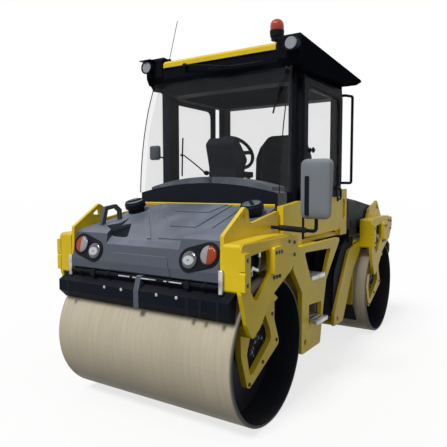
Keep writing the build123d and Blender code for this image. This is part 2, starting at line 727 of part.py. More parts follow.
with BuildPart() as step:
    upper_z = FLOOR_UNDER_Z + UPPER_HOLE[2][1] + SEAT_GAP
    lower_z = BELLY_Z + LOWER_HOLE[2][1] + SEAT_GAP
    for hole, step_z, reach in (
        (UPPER_HOLE, upper_z, UPPER_STEP_REACH),
        (LOWER_HOLE, lower_z, LOWER_STEP_REACH),
    ):
        with BuildSketch(Plane.XY.offset(step_z)):
            with BuildLine():
                Polyline(
                    (BULKHEAD_FRONT_X + hole[2][0] + STEP_SIDE_GAP, BULKHEAD_HALF_WIDTH),
                    (BULKHEAD_FRONT_X + hole[2][0] + STEP_SIDE_GAP, STEP_PLATE_Y + reach),
                    (BULKHEAD_FRONT_X + hole[3][0] - STEP_SIDE_GAP, STEP_PLATE_Y + reach),
                    (BULKHEAD_FRONT_X + hole[3][0] - STEP_SIDE_GAP, BULKHEAD_HALF_WIDTH),
                    close=True,
                )
            make_face()
            fillet(vertices().group_by(Axis.Y)[-1], STEP_TOE_ROUND)
        extrude(amount=STEP_TREAD)
    for hanger_x in (LOWER_HOLE[2][0] + STEP_TREAD, UPPER_HOLE[3][0] - STEP_SIDE_GAP - STEP_TREAD):
        block(
            BULKHEAD_FRONT_X + hanger_x,
            BULKHEAD_FRONT_X + hanger_x + HANGER_THICKNESS,
            BULKHEAD_HALF_WIDTH,
            STEP_PLATE_INNER_Y,
            lower_z,
            upper_z,
        )
both_sides(step, "steps")

# Front hood over the water tank: sloping top with stepped panels, raised brows over the lamp pods
hood_profile = [
    (HOOD_FOOT_X, DECK_TOP_Z),
    (HOOD_FOOT_X, HOOD_REAR_TOP_Z),
    (HOOD_NOSE_X - HOOD_BREAK[0], DRUM_TOP_Z + HOOD_BREAK[1]),
    (HOOD_NOSE_X - NOSE_TOP[0], DRUM_TOP_Z + NOSE_TOP[1]),
    (HOOD_NOSE_X, NOSE_EDGE_Z),
    (HOOD_NOSE_X, DRUM_TOP_Z + NOSE_FOOT_RISE),
    (HOOD_NOSE_X - NOSE_LIP, DRUM_TOP_Z + NOSE_FOOT_RISE),
    (HOOD_NOSE_X - NOSE_UNDERCUT, DECK_TOP_Z),
]
with BuildPart() as hood_brow:
    slab(moved(BROW_PROFILE, HOOD_NOSE_X, DRUM_TOP_Z), 0, HOOD_HALF_WIDTH)
    brow_rear_x = HOOD_NOSE_X + BROW_PROFILE[-1][0]
    with BuildSketch(Plane.XY.offset(DRUM_TOP_Z)):
        with BuildLine():
            Polyline(
                (HOOD_NOSE_X, HOOD_HALF_WIDTH - BROW_INSET[0]),
                (HOOD_NOSE_X, HOOD_HALF_WIDTH),
                (brow_rear_x, HOOD_HALF_WIDTH),
                (brow_rear_x, HOOD_HALF_WIDTH - BROW_INSET[1]),
                close=True,
            )
        make_face()
    extrude(amount=HOOD_REAR_RISE, mode=Mode.INTERSECT)
with BuildPart() as hood_badge:
    badge_fall = (BADGE_HIGH_RISE - NOSE_EDGE_RISE) * NOSE_TOP[0] / (NOSE_TOP[1] - NOSE_EDGE_RISE)
    slab(
        [
            (HOOD_NOSE_X - NOSE_LIP, DRUM_TOP_Z + BADGE_LOW_RISE),
            (HOOD_NOSE_X + BADGE_DEPTH, DRUM_TOP_Z + BADGE_LOW_RISE),
            (HOOD_NOSE_X + BADGE_DEPTH, NOSE_EDGE_Z),
            (HOOD_NOSE_X + BADGE_DEPTH - badge_fall, DRUM_TOP_Z + BADGE_HIGH_RISE),
            (HOOD_NOSE_X - NOSE_LIP, DRUM_TOP_Z + BADGE_HIGH_RISE),
        ],
        -BADGE_HALF_WIDTH,
        BADGE_HALF_WIDTH,
    )
    with BuildSketch(Plane.YZ):
        with BuildLine():
            Polyline(
                (-BADGE_HALF_WIDTH, DRUM_TOP_Z + BADGE_LOW_RISE),
                (BADGE_HALF_WIDTH, DRUM_TOP_Z + BADGE_LOW_RISE),
                (BADGE_TOP_HALF_WIDTH, DRUM_TOP_Z + BADGE_HIGH_RISE),
                (-BADGE_TOP_HALF_WIDTH, DRUM_TOP_Z + BADGE_HIGH_RISE),
                close=True,
            )
        make_face()
        fillet(vertices().group_by(Axis.Y)[-1], BADGE_CORNER)
    extrude(amount=HOOD_NOSE_X + BADGE_DEPTH, mode=Mode.INTERSECT)
with BuildPart() as hood_handle:
    handle_low_y = -HANDLE_Y - HANDLE_WIDTH / 2
    handle_high_y = -HANDLE_Y + HANDLE_WIDTH / 2
    slab(moved(HANDLE_OUTER, HOOD_FOOT_X, DRUM_TOP_Z), handle_low_y, handle_high_y)
    slab(moved(HANDLE_INNER, HOOD_FOOT_X, DRUM_TOP_Z), handle_low_y, handle_high_y, mode=Mode.SUBTRACT)
with BuildPart() as front_hood:
    slab(hood_profile, -HOOD_HALF_WIDTH, HOOD_HALF_WIDTH, HOOD_CORNER)
    add(hood_brow.part)
    mirror(hood_brow.part, about=Plane.XZ)
    add(hood_badge.part)
    for level, plateau in enumerate(PLATEAUS):
        with BuildSketch(SLOPE_PLANE):
            with BuildLine():
                Polyline(*across(plateau), close=True)
            make_face()
        extrude(amount=PLATEAU_STEP * (level + 1))
    with BuildSketch(SLOPE_PLANE):
        with BuildLine():
            Polyline(*across(RIDGE), close=True)
        make_face()
    extrude(amount=RIDGE_HEIGHT)
    with BuildSketch(SLOPE_PLANE.offset(-SCOOP_DEPTH)):
        with BuildLine():
            Polyline(*across(SCOOP), close=True)
        make_face()
        fillet(vertices(), SCOOP_CORNER)
    extrude(amount=SCOOP_DEPTH * 3, mode=Mode.SUBTRACT)
    with BuildSketch(NOSE_PLANE.offset(LAMP_POD_RIM)):
        for side in (1, -1):
            with Locations((side * HEADLAMP_Y, HEADLAMP_PLACE[1])):
                Circle(HEADLAMP_RADIUS + LAMP_POD_RIM)
            with Locations((side * INDICATOR_Y, INDICATOR_PLACE[1])):
                Circle(INDICATOR_RADIUS + LAMP_POD_RIM)
    extrude(amount=-LAMP_POD_RIM - LAMP_POD_DEPTH, mode=Mode.SUBTRACT)
    add(hood_handle.part)
save(front_hood, "front_hood")

# Lamps in the nose's pods
for lamp, lamp_y, lamp_rise, radius in (
    ("headlamps", HEADLAMP_Y, HEADLAMP_PLACE[1], HEADLAMP_RADIUS),
    ("indicators", INDICATOR_Y, INDICATOR_PLACE[1], INDICATOR_RADIUS),
):
    with BuildPart() as lamps:
        with BuildSketch(NOSE_PLANE.offset(-LAMP_POD_DEPTH)):
            with Locations((lamp_y, lamp_rise), (-lamp_y, lamp_rise)):
                Circle(radius)
        extrude(amount=LAMP_DEPTH)
        chamfer(edges().filter_by(GeomType.CIRCLE).group_by(Axis.X)[-1], LAMP_CHAMFER)
    save(lamps, f"front_{lamp}")

# Filler caps on their necks
with BuildPart() as tank_caps:
    for side in (1, -1):
        with BuildSketch(SLOPE_PLANE):
            with Locations((CAP_PLACE[0], side * CAP_Y)):
                Circle(NECK_RADIUS)
        extrude(amount=NECK_HEIGHT)
        with BuildSketch(SLOPE_PLANE.offset(NECK_HEIGHT)):
            with Locations((CAP_PLACE[0], side * CAP_Y)):
                Circle(CAP_RADIUS)
        extrude(amount=CAP_HEIGHT)
    chamfer(edges().filter_by(GeomType.CIRCLE).group_by(Axis.Z)[-1], CAP_CHAMFER)
save(tank_caps, "tank_caps")

# Beams, scrapers and sprinkler bars at both ends
for end, sign in (("front", 1), ("rear", -1)):
    end_x = sign * FRAME_END_X
    with BuildPart() as beam:
        x_low, x_high = sorted((end_x - sign * (BEAM_INSET + BEAM_DEPTH), end_x - sign * BEAM_INSET))
        block(
            x_low,
            x_high,
            -PLATE_INNER_Y,
            PLATE_INNER_Y,
            DRUM_TOP_Z - PLATE_FOOT_DROP,
            DRUM_TOP_Z + BEAM_RISE,
        )
    save(beam, f"{end}_beam")

    # Bent scraper plate with ribs behind it, and a second blade on the drum's inner side
    tip_z = DRUM_TOP_Z - SCRAPER_DROP
    tip_reach = sqrt((DRUM_RADIUS + SCRAPER_GAP) ** 2 - (tip_z - HUB_Z) ** 2)
    tip_x = sign * (HUB_X + tip_reach)
    nose_x = end_x + sign * SCRAPER_NOSE
    skin_x = nose_x - sign * SCRAPER_SKIN
    foot_x = end_x - sign * (BEAM_INSET + BEAM_DEPTH / 2)
    foot_z = DRUM_TOP_Z - PLATE_FOOT_DROP
    scraper_half = DRUM_EDGE_Y - SCRAPER_END_GAP
    with BuildPart() as scraper:
        slab(
            [
                (tip_x, tip_z),
                (tip_x + sign * SCRAPER_BLADE, tip_z),
                (nose_x, tip_z + SCRAPER_NOSE),
                (nose_x, foot_z - SCRAPER_NOSE + SCRAPER_SKIN),
                (end_x, foot_z - SCRAPER_SKIN),
                (end_x - sign * BEAM_INSET, foot_z),
                (foot_x, foot_z),
                (foot_x, foot_z - SCRAPER_SKIN),
                (skin_x, foot_z - SCRAPER_NOSE),
                (skin_x, tip_z + SCRAPER_NOSE + SCRAPER_SKIN),
            ],
            -scraper_half,
            scraper_half,
        )
        for rib in range(RIB_COUNT):
            rib_y = -scraper_half + rib * (2 * scraper_half - RIB_THICKNESS) / (RIB_COUNT - 1)
            slab(
                [
                    (tip_x, tip_z),
                    (skin_x, tip_z + SCRAPER_NOSE + SCRAPER_SKIN),
                    (skin_x, foot_z - SCRAPER_NOSE),
                    (foot_x, foot_z - SCRAPER_SKIN),
                ],
                rib_y,
                rib_y + RIB_THICKNESS,
            )
        blade_reach = DRUM_RADIUS + SCRAPER_GAP
        blade_x = sign * (HUB_X + blade_reach * cos(radians(INNER_SCRAPER_ANGLE)))
        blade_z = HUB_Z + blade_reach * sin(radians(INNER_SCRAPER_ANGLE))
        wall_x = sign * BULKHEAD_FRONT_X
        wall_z = BELLY_Z if end == "front" else BELLY_Z + REAR_WALL_RISE
        wall_half = (STEP_PLATE_INNER_Y if end == "front" else PLATE_INNER_Y) - INNER_SCRAPER_GAP
        slab(
            [
                (wall_x, wall_z),
                (wall_x, wall_z + SHELF_THICKNESS),
                (blade_x, blade_z),
                (blade_x - sign * INNER_SCRAPER_TIP, blade_z),
            ],
            -wall_half,
            wall_half,
        )
    save(scraper, f"{end}_scraper")

    with BuildPart() as sprinkler_bar:
        round_bar(
            end_x + sign * SPRAY_FORWARD,
            DRUM_TOP_Z - SPRAY_DROP,
            SPRAY_RADIUS,
            -PLATE_INNER_Y,
            PLATE_INNER_Y,
        )
    save(sprinkler_bar, f"{end}_sprinkler_bar")

# Cab base: floor, front foot wall, rear wall and painted side panels
side_front_x = DOOR_AXIS_X + DOOR_THICKNESS
side_rear_x = DOOR_REAR_X - DOOR_GAP
with BuildPart() as cab_base:
    block(REAR_POST_X, COWL_FRONT_X, -CAB_HALF_WIDTH, CAB_HALF_WIDTH, FLOOR_UNDER_Z, FLOOR_TOP_Z)
    block(
        COWL_FRONT_X - WALL_THICKNESS,
        COWL_FRONT_X,
        -CAB_HALF_WIDTH,
        CAB_HALF_WIDTH,
        FLOOR_TOP_Z,
        FLOOR_TOP_Z + COWL_FOOT_RISE,
    )
    block(REAR_POST_X - WALL_THICKNESS, REAR_POST_X, -POST_OUTER_Y, POST_OUTER_Y, FLOOR_UNDER_Z, SILL_REAR_Z)
    for side in (1, -1):
        y_low, y_high = on_side(side, POST_OUTER_Y, CAB_HALF_WIDTH + SIDE_PANEL_REACH)
        slab(
            [
                (side_front_x, FLOOR_UNDER_Z),
                (COWL_FRONT_X, FLOOR_UNDER_Z),
                (COWL_FRONT_X, FLOOR_TOP_Z + SILL_FRONT_RISE),
                (side_front_x, FLOOR_TOP_Z + SILL_RISE),
            ],
            y_low,
            y_high,
        )
        slab(
            [
                (REAR_POST_X - WALL_THICKNESS, FLOOR_UNDER_Z),
                (side_rear_x, FLOOR_UNDER_Z),
                (side_rear_x, SILL_REAR_Z),
                (REAR_POST_X - WALL_THICKNESS, SILL_REAR_Z),
            ],
            y_low,
            y_high,
        )
        # Oval hand recess behind the door
        y_low, y_high = on_side(
            side,
            CAB_HALF_WIDTH + SIDE_PANEL_REACH - RECESS_DEPTH,
            CAB_HALF_WIDTH + SIDE_PANEL_REACH,
        )
        with BuildSketch(side_plane(y_low)):
            with Locations(((REAR_POST_X - WALL_THICKNESS + side_rear_x) / 2, FLOOR_TOP_Z + RECESS_RISE)):
                SlotOverall(RECESS_SIZE[1], RECESS_SIZE[0], rotation=90)
        extrude(amount=y_low - y_high, mode=Mode.SUBTRACT)
save(cab_base, "cab_base")

# Cab frame: four posts and the beams round the roof
front_post_mid_x = FRONT_POST_X - POST_DEPTH / 2
rear_post_mid_x = REAR_POST_X + POST_DEPTH / 2
post_mid_y = (POST_INNER_Y + POST_OUTER_Y) / 2
with BuildPart() as cab_frame:
    with BuildSketch(Plane.XY.offset(FLOOR_TOP_Z)):
        for post_x in (front_post_mid_x, rear_post_mid_x):
            with Locations((post_x, post_mid_y), (post_x, -post_mid_y)):
                RectangleRounded(POST_DEPTH, POST_WIDTH, POST_ROUND)
    extrude(amount=CAB_HEIGHT)
    with BuildSketch(Plane.XY.offset(ROOF_UNDER_Z - ROOF_BEAM_HEIGHT)):
        with Locations(((FRONT_POST_X + REAR_POST_X) / 2, 0)):
            RectangleRounded(FRONT_POST_X - REAR_POST_X, 2 * POST_OUTER_Y, POST_ROUND)
            RectangleRounded(
                FRONT_POST_X - REAR_POST_X - 2 * POST_DEPTH,
                2 * POST_INNER_Y,
                POST_ROUND,
                mode=Mode.SUBTRACT,
            )
    extrude(amount=ROOF_BEAM_HEIGHT)
save(cab_frame, "cab_frame")

# Roof: dark moulding with deep side fairings, and a painted cap between them
fascia_inner_y = CAB_HALF_WIDTH - ROOF_FASCIA_INSET
fascia_outer_y = CAB_HALF_WIDTH + ROOF_FASCIA_REACH
lip_inner_y = fascia_outer_y - ROOF_LIP_THICKNESS
with BuildPart() as roof_side:
    slab(moved(ROOF_FASCIA, 0, ROOF_UNDER_Z), fascia_inner_y, fascia_outer_y)
    slab(moved(ROOF_LIP, 0, ROOF_UNDER_Z), lip_inner_y, fascia_outer_y)
    chamfer(edges().group_by(Axis.Y)[-1], ROOF_FASCIA_ROUND)
with BuildPart() as cab_roof:
    add(roof_side.part)
    mirror(roof_side.part, about=Plane.XZ)
    middle_half_width = fascia_inner_y + WALL_THICKNESS
    slab(moved(ROOF_MIDDLE, 0, ROOF_UNDER_Z), -middle_half_width, middle_half_width)
save(cab_roof, "cab_roof")

cap_half_width = CAB_HALF_WIDTH - ROOF_CAP_INSET
with BuildPart() as roof_cap:
    slab(moved(ROOF_CAP, 0, ROOF_UNDER_Z), -cap_half_width, cap_half_width)
save(roof_cap, "roof_cap")


# Cowl under the windscreen and dashboard behind it, both arched across the cab
def arched(x_low, x_high, half_width, foot_z, side_z, mid_z, mode=Mode.ADD):
    """Adds or cuts a block whose top is an arch across the machine."""
    with BuildSketch(Plane.YZ.offset(x_low)) as section:
        with BuildLine():
            Polyline((-half_width, side_z), (-half_width, foot_z), (half_width, foot_z), (half_width, side_z))
            ThreePointArc((half_width, side_z), (0, mid_z), (-half_width, side_z))
        make_face()
    extrude(section.sketch, amount=x_high - x_low, mode=mode)


cowl_half_width = POST_OUTER_Y - SEAT_GAP
with BuildPart() as dashboard:
    arched(
        COWL_FRONT_X - COWL_DEPTH,
        COWL_FRONT_X,
        cowl_half_width,
        FLOOR_TOP_Z + COWL_FOOT_RISE,
        FLOOR_TOP_Z + COWL_SIDE_RISE,
        FLOOR_TOP_Z + COWL_MID_RISE,
    )
    arched(
        COWL_FRONT_X - DASH_SETBACK - DASH_DEPTH,
        COWL_FRONT_X - DASH_SETBACK,
        POST_INNER_Y,
        FLOOR_TOP_Z + DASH_UNDER_RISE,
        FLOOR_TOP_Z + DASH_SIDE_RISE,
        FLOOR_TOP_Z + DASH_MID_RISE,
    )
save(dashboard, "dashboard")

# Glass
glass_foot = (COWL_FRONT_X - GLASS_FOOT_SETBACK, FLOOR_TOP_Z + COWL_SIDE_RISE)
glass_belly = (COWL_FRONT_X - GLASS_BELLY[0], FLOOR_TOP_Z + GLASS_BELLY[1])
glass_head = (ROOF_FRONT_X - GLASS_HEAD_SETBACK, ROOF_UNDER_Z - SEAT_GAP)
with BuildPart() as windscreen:
    with BuildSketch(side_plane(-CAB_HALF_WIDTH)):
        with BuildLine():
            outer_face = ThreePointArc(glass_foot, glass_belly, glass_head)
            offset(outer_face, GLASS_THICKNESS, side=Side.LEFT, closed=True)
        make_face()
    extrude(amount=-2 * CAB_HALF_WIDTH)
    arched(
        COWL_FRONT_X - COWL_DEPTH,
        COWL_FRONT_X,
        cowl_half_width,
        FLOOR_TOP_Z + COWL_FOOT_RISE,
        FLOOR_TOP_Z + COWL_SIDE_RISE + SEAT_GAP,
        FLOOR_TOP_Z + COWL_MID_RISE + SEAT_GAP,
        Mode.SUBTRACT,
    )
save(windscreen, "windscreen")

with BuildPart() as quarter_window:
    slab(
        [
            (glass_head[0] - QUARTER_GAP, ROOF_UNDER_Z - SEAT_GAP),
            (FRONT_POST_X + SEAT_GAP, ROOF_UNDER_Z - SEAT_GAP),
            (FRONT_POST_X + SEAT_GAP, FLOOR_TOP_Z + COWL_SIDE_RISE + GLASS_THICKNESS),
            (glass_foot[0] - QUARTER_GAP, FLOOR_TOP_Z + COWL_SIDE_RISE + GLASS_THICKNESS),
            (glass_belly[0] - QUARTER_GAP, glass_belly[1]),
        ],
        POST_OUTER_Y - GLASS_THICKNESS,
        POST_OUTER_Y,
    )
both_sides(quarter_window, "quarter_windows")

with BuildPart() as rear_window:
    with BuildSketch(Plane.YZ.offset(REAR_POST_X - SEAT_GAP - GLASS_THICKNESS)):
        with BuildLine():
            Polyline(
                (-POST_OUTER_Y, SILL_REAR_Z + SEAT_GAP),
                (POST_OUTER_Y, SILL_REAR_Z + SEAT_GAP),
                (POST_OUTER_Y, ROOF_UNDER_Z - SEAT_GAP),
                (-POST_OUTER_Y, ROOF_UNDER_Z - SEAT_GAP),
                close=True,
            )
        make_face()
        fillet(vertices().group_by(Axis.Y)[-1], REAR_GLASS_CORNER)
    extrude(amount=GLASS_THICKNESS)
save(rear_window, "rear_window")

# Driver's place
with BuildPart() as seat_base:
    slab(
        moved(SEAT_BASE, 0, FLOOR_TOP_Z),
        SEAT_Y - SEAT_BASE_WIDTH / 2,
        SEAT_Y + SEAT_BASE_WIDTH / 2,
    )
save(seat_base, "seat_base")

with BuildPart() as seat_cushion:
    with BuildSketch(Plane.XY.offset(FLOOR_TOP_Z + SEAT_RISE + SEAT_GAP)):
        with Locations((CUSHION_REAR_X + CUSHION_LENGTH / 2, SEAT_Y)):
            RectangleRounded(CUSHION_LENGTH, CUSHION_WIDTH, CUSHION_ROUND)
    extrude(amount=CUSHION_THICKNESS)
save(seat_cushion, "seat_cushion")

with BuildPart() as seat_back:
    slab(
        moved(SEAT_BACK, CUSHION_REAR_X - SEAT_GAP, FLOOR_TOP_Z + SEAT_RISE),
        SEAT_Y - SEAT_BACK_WIDTH / 2,
        SEAT_Y + SEAT_BACK_WIDTH / 2,
    )
    fillet(edges().filter_by(Axis.Y, reverse=True).group_by(Axis.Z)[-1], SEAT_BACK_ROUND)
save(seat_back, "seat_back")

with BuildPart() as steering_console:
    slab(
        moved(CONSOLE, 0, FLOOR_TOP_Z),
        CONSOLE_Y - CONSOLE_WIDTH / 2,
        CONSOLE_Y + CONSOLE_WIDTH / 2,
        CONSOLE_ROUND,
    )
save(steering_console, "steering_console")

with BuildPart() as wheel:
    with BuildSketch(Plane.XY.offset(-WHEEL_RIM)):
        RegularPolygon(WHEEL_RADIUS + WHEEL_RIM, WHEEL_SIDES)
        RegularPolygon(WHEEL_RADIUS - WHEEL_RIM, WHEEL_SIDES, mode=Mode.SUBTRACT)
    extrude(amount=2 * WHEEL_RIM)
    chamfer(edges().filter_by(Axis.Z, reverse=True), WHEEL_RIM_CHAMFER)
    Box(2 * WHEEL_RADIUS, WHEEL_SPOKE, WHEEL_SPOKE_THICKNESS)
    Box(WHEEL_SPOKE, 2 * WHEEL_RADIUS, WHEEL_SPOKE_THICKNESS)
    Cylinder(WHEEL_HUB_RADIUS, WHEEL_HUB_HEIGHT)
    Cylinder(WHEEL_SHAFT_RADIUS, WHEEL_SHAFT_LENGTH, align=(Align.CENTER, Align.CENTER, Align.MAX))
with BuildPart() as steering_wheel:
    with Locations(Location((WHEEL_PLACE[0], CONSOLE_Y, FLOOR_TOP_Z + WHEEL_PLACE[1]), (0, -WHEEL_TILT, 0))):
        add(wheel.part)
save(steering_wheel, "steering_wheel")

# Doors, hinged on the front posts
with BuildPart() as door_frame:
    slab(
        [
            (DOOR_FRONT_X, DOOR_WINDOW_Z - DOOR_FRAME_WIDTH),
            (DOOR_FRONT_X, DOOR_TOP_Z),
            (DOOR_REAR_X, DOOR_TOP_Z),
            (DOOR_REAR_X, DOOR_WINDOW_Z - DOOR_FRAME_WIDTH),
        ],
        DOOR_INNER_Y,
        DOOR_OUTER_Y,
    )
    slab(
        [
            (DOOR_FRONT_X - DOOR_FRAME_WIDTH, DOOR_WINDOW_Z),
            (DOOR_FRONT_X - DOOR_FRAME_WIDTH, DOOR_TOP_Z - DOOR_FRAME_WIDTH),
            (DOOR_REAR_X + DOOR_FRAME_WIDTH, DOOR_TOP_Z - DOOR_FRAME_WIDTH),
            (DOOR_REAR_X + DOOR_FRAME_WIDTH, DOOR_WINDOW_Z),
        ],
        DOOR_INNER_Y,
        DOOR_OUTER_Y,
        DOOR_GLASS_CORNER,
        Mode.SUBTRACT,
    )
    with BuildSketch(Plane.XY.offset(DOOR_BOTTOM_Z)):
        with Locations((DOOR_AXIS_X - DOOR_HINGE_RADIUS / 2, DOOR_AXIS_Y)):
            Rectangle(DOOR_HINGE_RADIUS, DOOR_THICKNESS)
        with Locations((DOOR_AXIS_X, DOOR_AXIS_Y)):
            Circle(DOOR_HINGE_RADIUS)
            Circle(HINGE_PIN_RADIUS + HINGE_CLEARANCE, mode=Mode.SUBTRACT)
    extrude(amount=DOOR_TOP_Z - DOOR_BOTTOM_Z)

with BuildPart() as door_panel:
    with BuildSketch(side_plane(DOOR_INNER_Y)):
        with BuildLine():
            Polyline(
                (DOOR_FRONT_X, DOOR_BOTTOM_Z),
                (DOOR_FRONT_X, DOOR_WINDOW_Z - DOOR_FRAME_WIDTH),
                (DOOR_REAR_X, DOOR_WINDOW_Z - DOOR_FRAME_WIDTH),
                (DOOR_REAR_X, DOOR_BOTTOM_Z),
                close=True,
            )
        make_face()
        fillet(vertices().group_by(Axis.Y)[0].sort_by(Axis.X)[0], DOOR_PANEL_CORNER)
    extrude(amount=-DOOR_THICKNESS)

with BuildPart() as door_glass:
    slab(
        [
            (DOOR_FRONT_X - DOOR_FRAME_WIDTH - SEAT_GAP, DOOR_WINDOW_Z + SEAT_GAP),
            (DOOR_FRONT_X - DOOR_FRAME_WIDTH - SEAT_GAP, DOOR_TOP_Z - DOOR_FRAME_WIDTH - SEAT_GAP),
            (DOOR_REAR_X + DOOR_FRAME_WIDTH + SEAT_GAP, DOOR_TOP_Z - DOOR_FRAME_WIDTH - SEAT_GAP),
            (DOOR_REAR_X + DOOR_FRAME_WIDTH + SEAT_GAP, DOOR_WINDOW_Z + SEAT_GAP),
        ],
        DOOR_AXIS_Y - GLASS_THICKNESS / 2,
        DOOR_AXIS_Y + GLASS_THICKNESS / 2,
        DOOR_GLASS_CORNER,
    )

for piece, kind in ((door_frame, "frame"), (door_panel, "panel"), (door_glass, "glass")):
    save(piece, f"door_left_{kind}")
    with BuildPart() as piece_right:
        mirror(piece.part, about=Plane.XZ)
    save(piece_right, f"door_right_{kind}")

# Hinge brackets on the front posts, with a pin in each end of the door's hinge tube
with BuildPart() as hinge:
    for plate_z, pin_z in (
        (DOOR_BOTTOM_Z - HINGE_PLATE - HINGE_END_GAP, DOOR_BOTTOM_Z - HINGE_PLATE - HINGE_END_GAP),
        (DOOR_TOP_Z + HINGE_END_GAP, DOOR_TOP_Z + HINGE_PLATE + HINGE_END_GAP - HINGE_PIN_LENGTH),
    ):
        block(
            DOOR_AXIS_X - HINGE_PLATE,
            DOOR_AXIS_X + HINGE_PLATE,
            POST_OUTER_Y,
            DOOR_OUTER_Y,
            plate_z,
            plate_z + HINGE_PLATE,
        )
        upright(DOOR_AXIS_X, DOOR_AXIS_Y, HINGE_PIN_RADIUS, pin_z, pin_z + HINGE_PIN_LENGTH)
both_sides(hinge, "door_hinges")

# Handrails behind the doors
rail_x = REAR_POST_X + RAIL_FOOT
rail_far_x = REAR_POST_X - RAIL_BEHIND
rail_low_z = FLOOR_TOP_Z + RAIL_LOW_RISE
rail_high_z = ROOF_UNDER_Z - RAIL_TOP_GAP
with BuildPart() as handrail:
    with BuildLine() as rail_path:
        FilletPolyline(
            (rail_x, POST_OUTER_Y + SEAT_GAP, rail_low_z),
            (rail_x, CAB_HALF_WIDTH + RAIL_KNEE, rail_low_z),
            (rail_far_x, CAB_HALF_WIDTH + RAIL_STAND, rail_low_z),
            (rail_far_x, CAB_HALF_WIDTH + RAIL_STAND, rail_high_z),
            (rail_x, CAB_HALF_WIDTH + RAIL_KNEE, rail_high_z),
            (rail_x, POST_OUTER_Y + SEAT_GAP, rail_high_z),
            radius=RAIL_BEND,
        )
    with BuildSketch(Plane(origin=rail_path.line @ 0, z_dir=rail_path.line % 0)):
        RegularPolygon(RAIL_RADIUS, RAIL_SIDES)
    sweep()
both_sides(handrail, "handrails")

# Mirror on the left, on a bent arm from the side plate
mirror_x = COWL_FRONT_X + ARM_HAND[0]
mirror_y = PLATE_OUTER_Y + ARM_HAND[1]
arm_z = DRUM_TOP_Z + ARM_FOOT[1]
mirror_z = arm_z - ARM_DROP + ARM_RISE
with BuildPart() as mirror_arm:
    with BuildLine() as arm_path:
        FilletPolyline(
            (COWL_FRONT_X + ARM_FOOT[0], PLATE_OUTER_Y + SEAT_GAP, arm_z),
            (COWL_FRONT_X + ARM_FOOT[0], PLATE_OUTER_Y + ARM_STUB, arm_z),
            (mirror_x, mirror_y, arm_z - ARM_DROP),
            (mirror_x, mirror_y, mirror_z),
            radius=ARM_BEND,
        )
    with BuildSketch(Plane(origin=arm_path.line @ 0, z_dir=arm_path.line % 0)):
        RegularPolygon(ARM_RADIUS, RAIL_SIDES)
    sweep()
save(mirror_arm, "mirror_arm")

mirror_rear_x = mirror_x - MIRROR_DEPTH / 2
mirror_low_z = mirror_z + SEAT_GAP
mirror_high_z = mirror_low_z + MIRROR_HEIGHT
mirror_outline = [
    (mirror_y - MIRROR_WIDTH / 2, mirror_high_z),
    (mirror_y + MIRROR_WIDTH / 2, mirror_high_z),
    (mirror_y + MIRROR_WIDTH / 2 - MIRROR_TAPER, mirror_low_z),
    (mirror_y - MIRROR_WIDTH / 2 + MIRROR_TAPER, mirror_low_z),
]
with BuildPart() as mirror_housing:
    with BuildSketch(Plane.YZ.offset(mirror_rear_x)) as housing_face:
        with BuildLine():
            Polyline(*mirror_outline, close=True)
        make_face()
        fillet(vertices(), MIRROR_ROUND)
    extrude(amount=MIRROR_DEPTH)
    chamfer(faces().sort_by(Axis.X)[-1].edges(), MIRROR_GLASS_RIM)
    with BuildSketch(Plane.YZ.offset(mirror_rear_x)):
        with BuildLine():
            Polyline(*mirror_outline, close=True)
        make_face()
        fillet(vertices(), MIRROR_ROUND)
        offset(amount=-MIRROR_GLASS_RIM, mode=Mode.REPLACE)
    extrude(amount=MIRROR_GLASS_DEPTH, mode=Mode.SUBTRACT)
save(mirror_housing, "mirror_housing")

# Roof lamps, beacon and aerial
with BuildPart() as work_lamps:
    with BuildSketch(Plane.YZ.offset(ROOF_FRONT_X)):
        lamp_y = CAB_HALF_WIDTH + WORK_LAMP_REACH
        lamp_z = ROOF_UNDER_Z + WORK_LAMP_RISE
        with Locations((lamp_y, lamp_z), (-lamp_y, lamp_z)):
            Circle(WORK_LAMP_RADIUS)
    extrude(amount=WORK_LAMP_DEPTH)
    chamfer(edges().filter_by(GeomType.CIRCLE).group_by(Axis.X)[-1], LAMP_CHAMFER)
save(work_lamps, "work_lamps")

beacon_y = CAB_HALF_WIDTH - BEACON_INSET
stalk_top_z = ROOF_CAP_TOP_Z + BEACON_STALK
dome_z = stalk_top_z + BEACON_BASE_HEIGHT
with BuildPart() as beacon_base:
    upright(BEACON_X, beacon_y, BEACON_STALK_RADIUS, ROOF_CAP_TOP_Z, stalk_top_z)
    upright(BEACON_X, beacon_y, BEACON_RADIUS, stalk_top_z, dome_z)
save(beacon_base, "beacon_base")

with BuildPart() as beacon_dome:
    with BuildSketch(Plane.XY.offset(dome_z)):
        with Locations((BEACON_X, beacon_y)):
            RegularPolygon(DOME_RADIUS, DOME_SIDES)
    extrude(amount=DOME_HEIGHT, taper=DOME_TAPER)
    chamfer(faces().sort_by(Axis.Z)[-1].edges(), DOME_CHAMFER)
save(beacon_dome, "beacon_dome")

antenna_y = ANTENNA_INSET - CAB_HALF_WIDTH
with BuildPart() as antenna:
    upright(ANTENNA_X, antenna_y, ANTENNA_FOOT_RADIUS, ROOF_CAP_TOP_Z, ROOF_CAP_TOP_Z + ANTENNA_FOOT_HEIGHT)
    rod_foot_z = ROOF_CAP_TOP_Z + ANTENNA_FOOT_HEIGHT - ANTENNA_FOOT_RADIUS / 2
    with Locations(Location((ANTENNA_X, antenna_y, rod_foot_z), (0, -ANTENNA_LEAN, 0))):
        Cylinder(ANTENNA_ROD_RADIUS, ANTENNA_LENGTH, align=(Align.CENTER, Align.CENTER, Align.MIN))
save(antenna, "antenna")

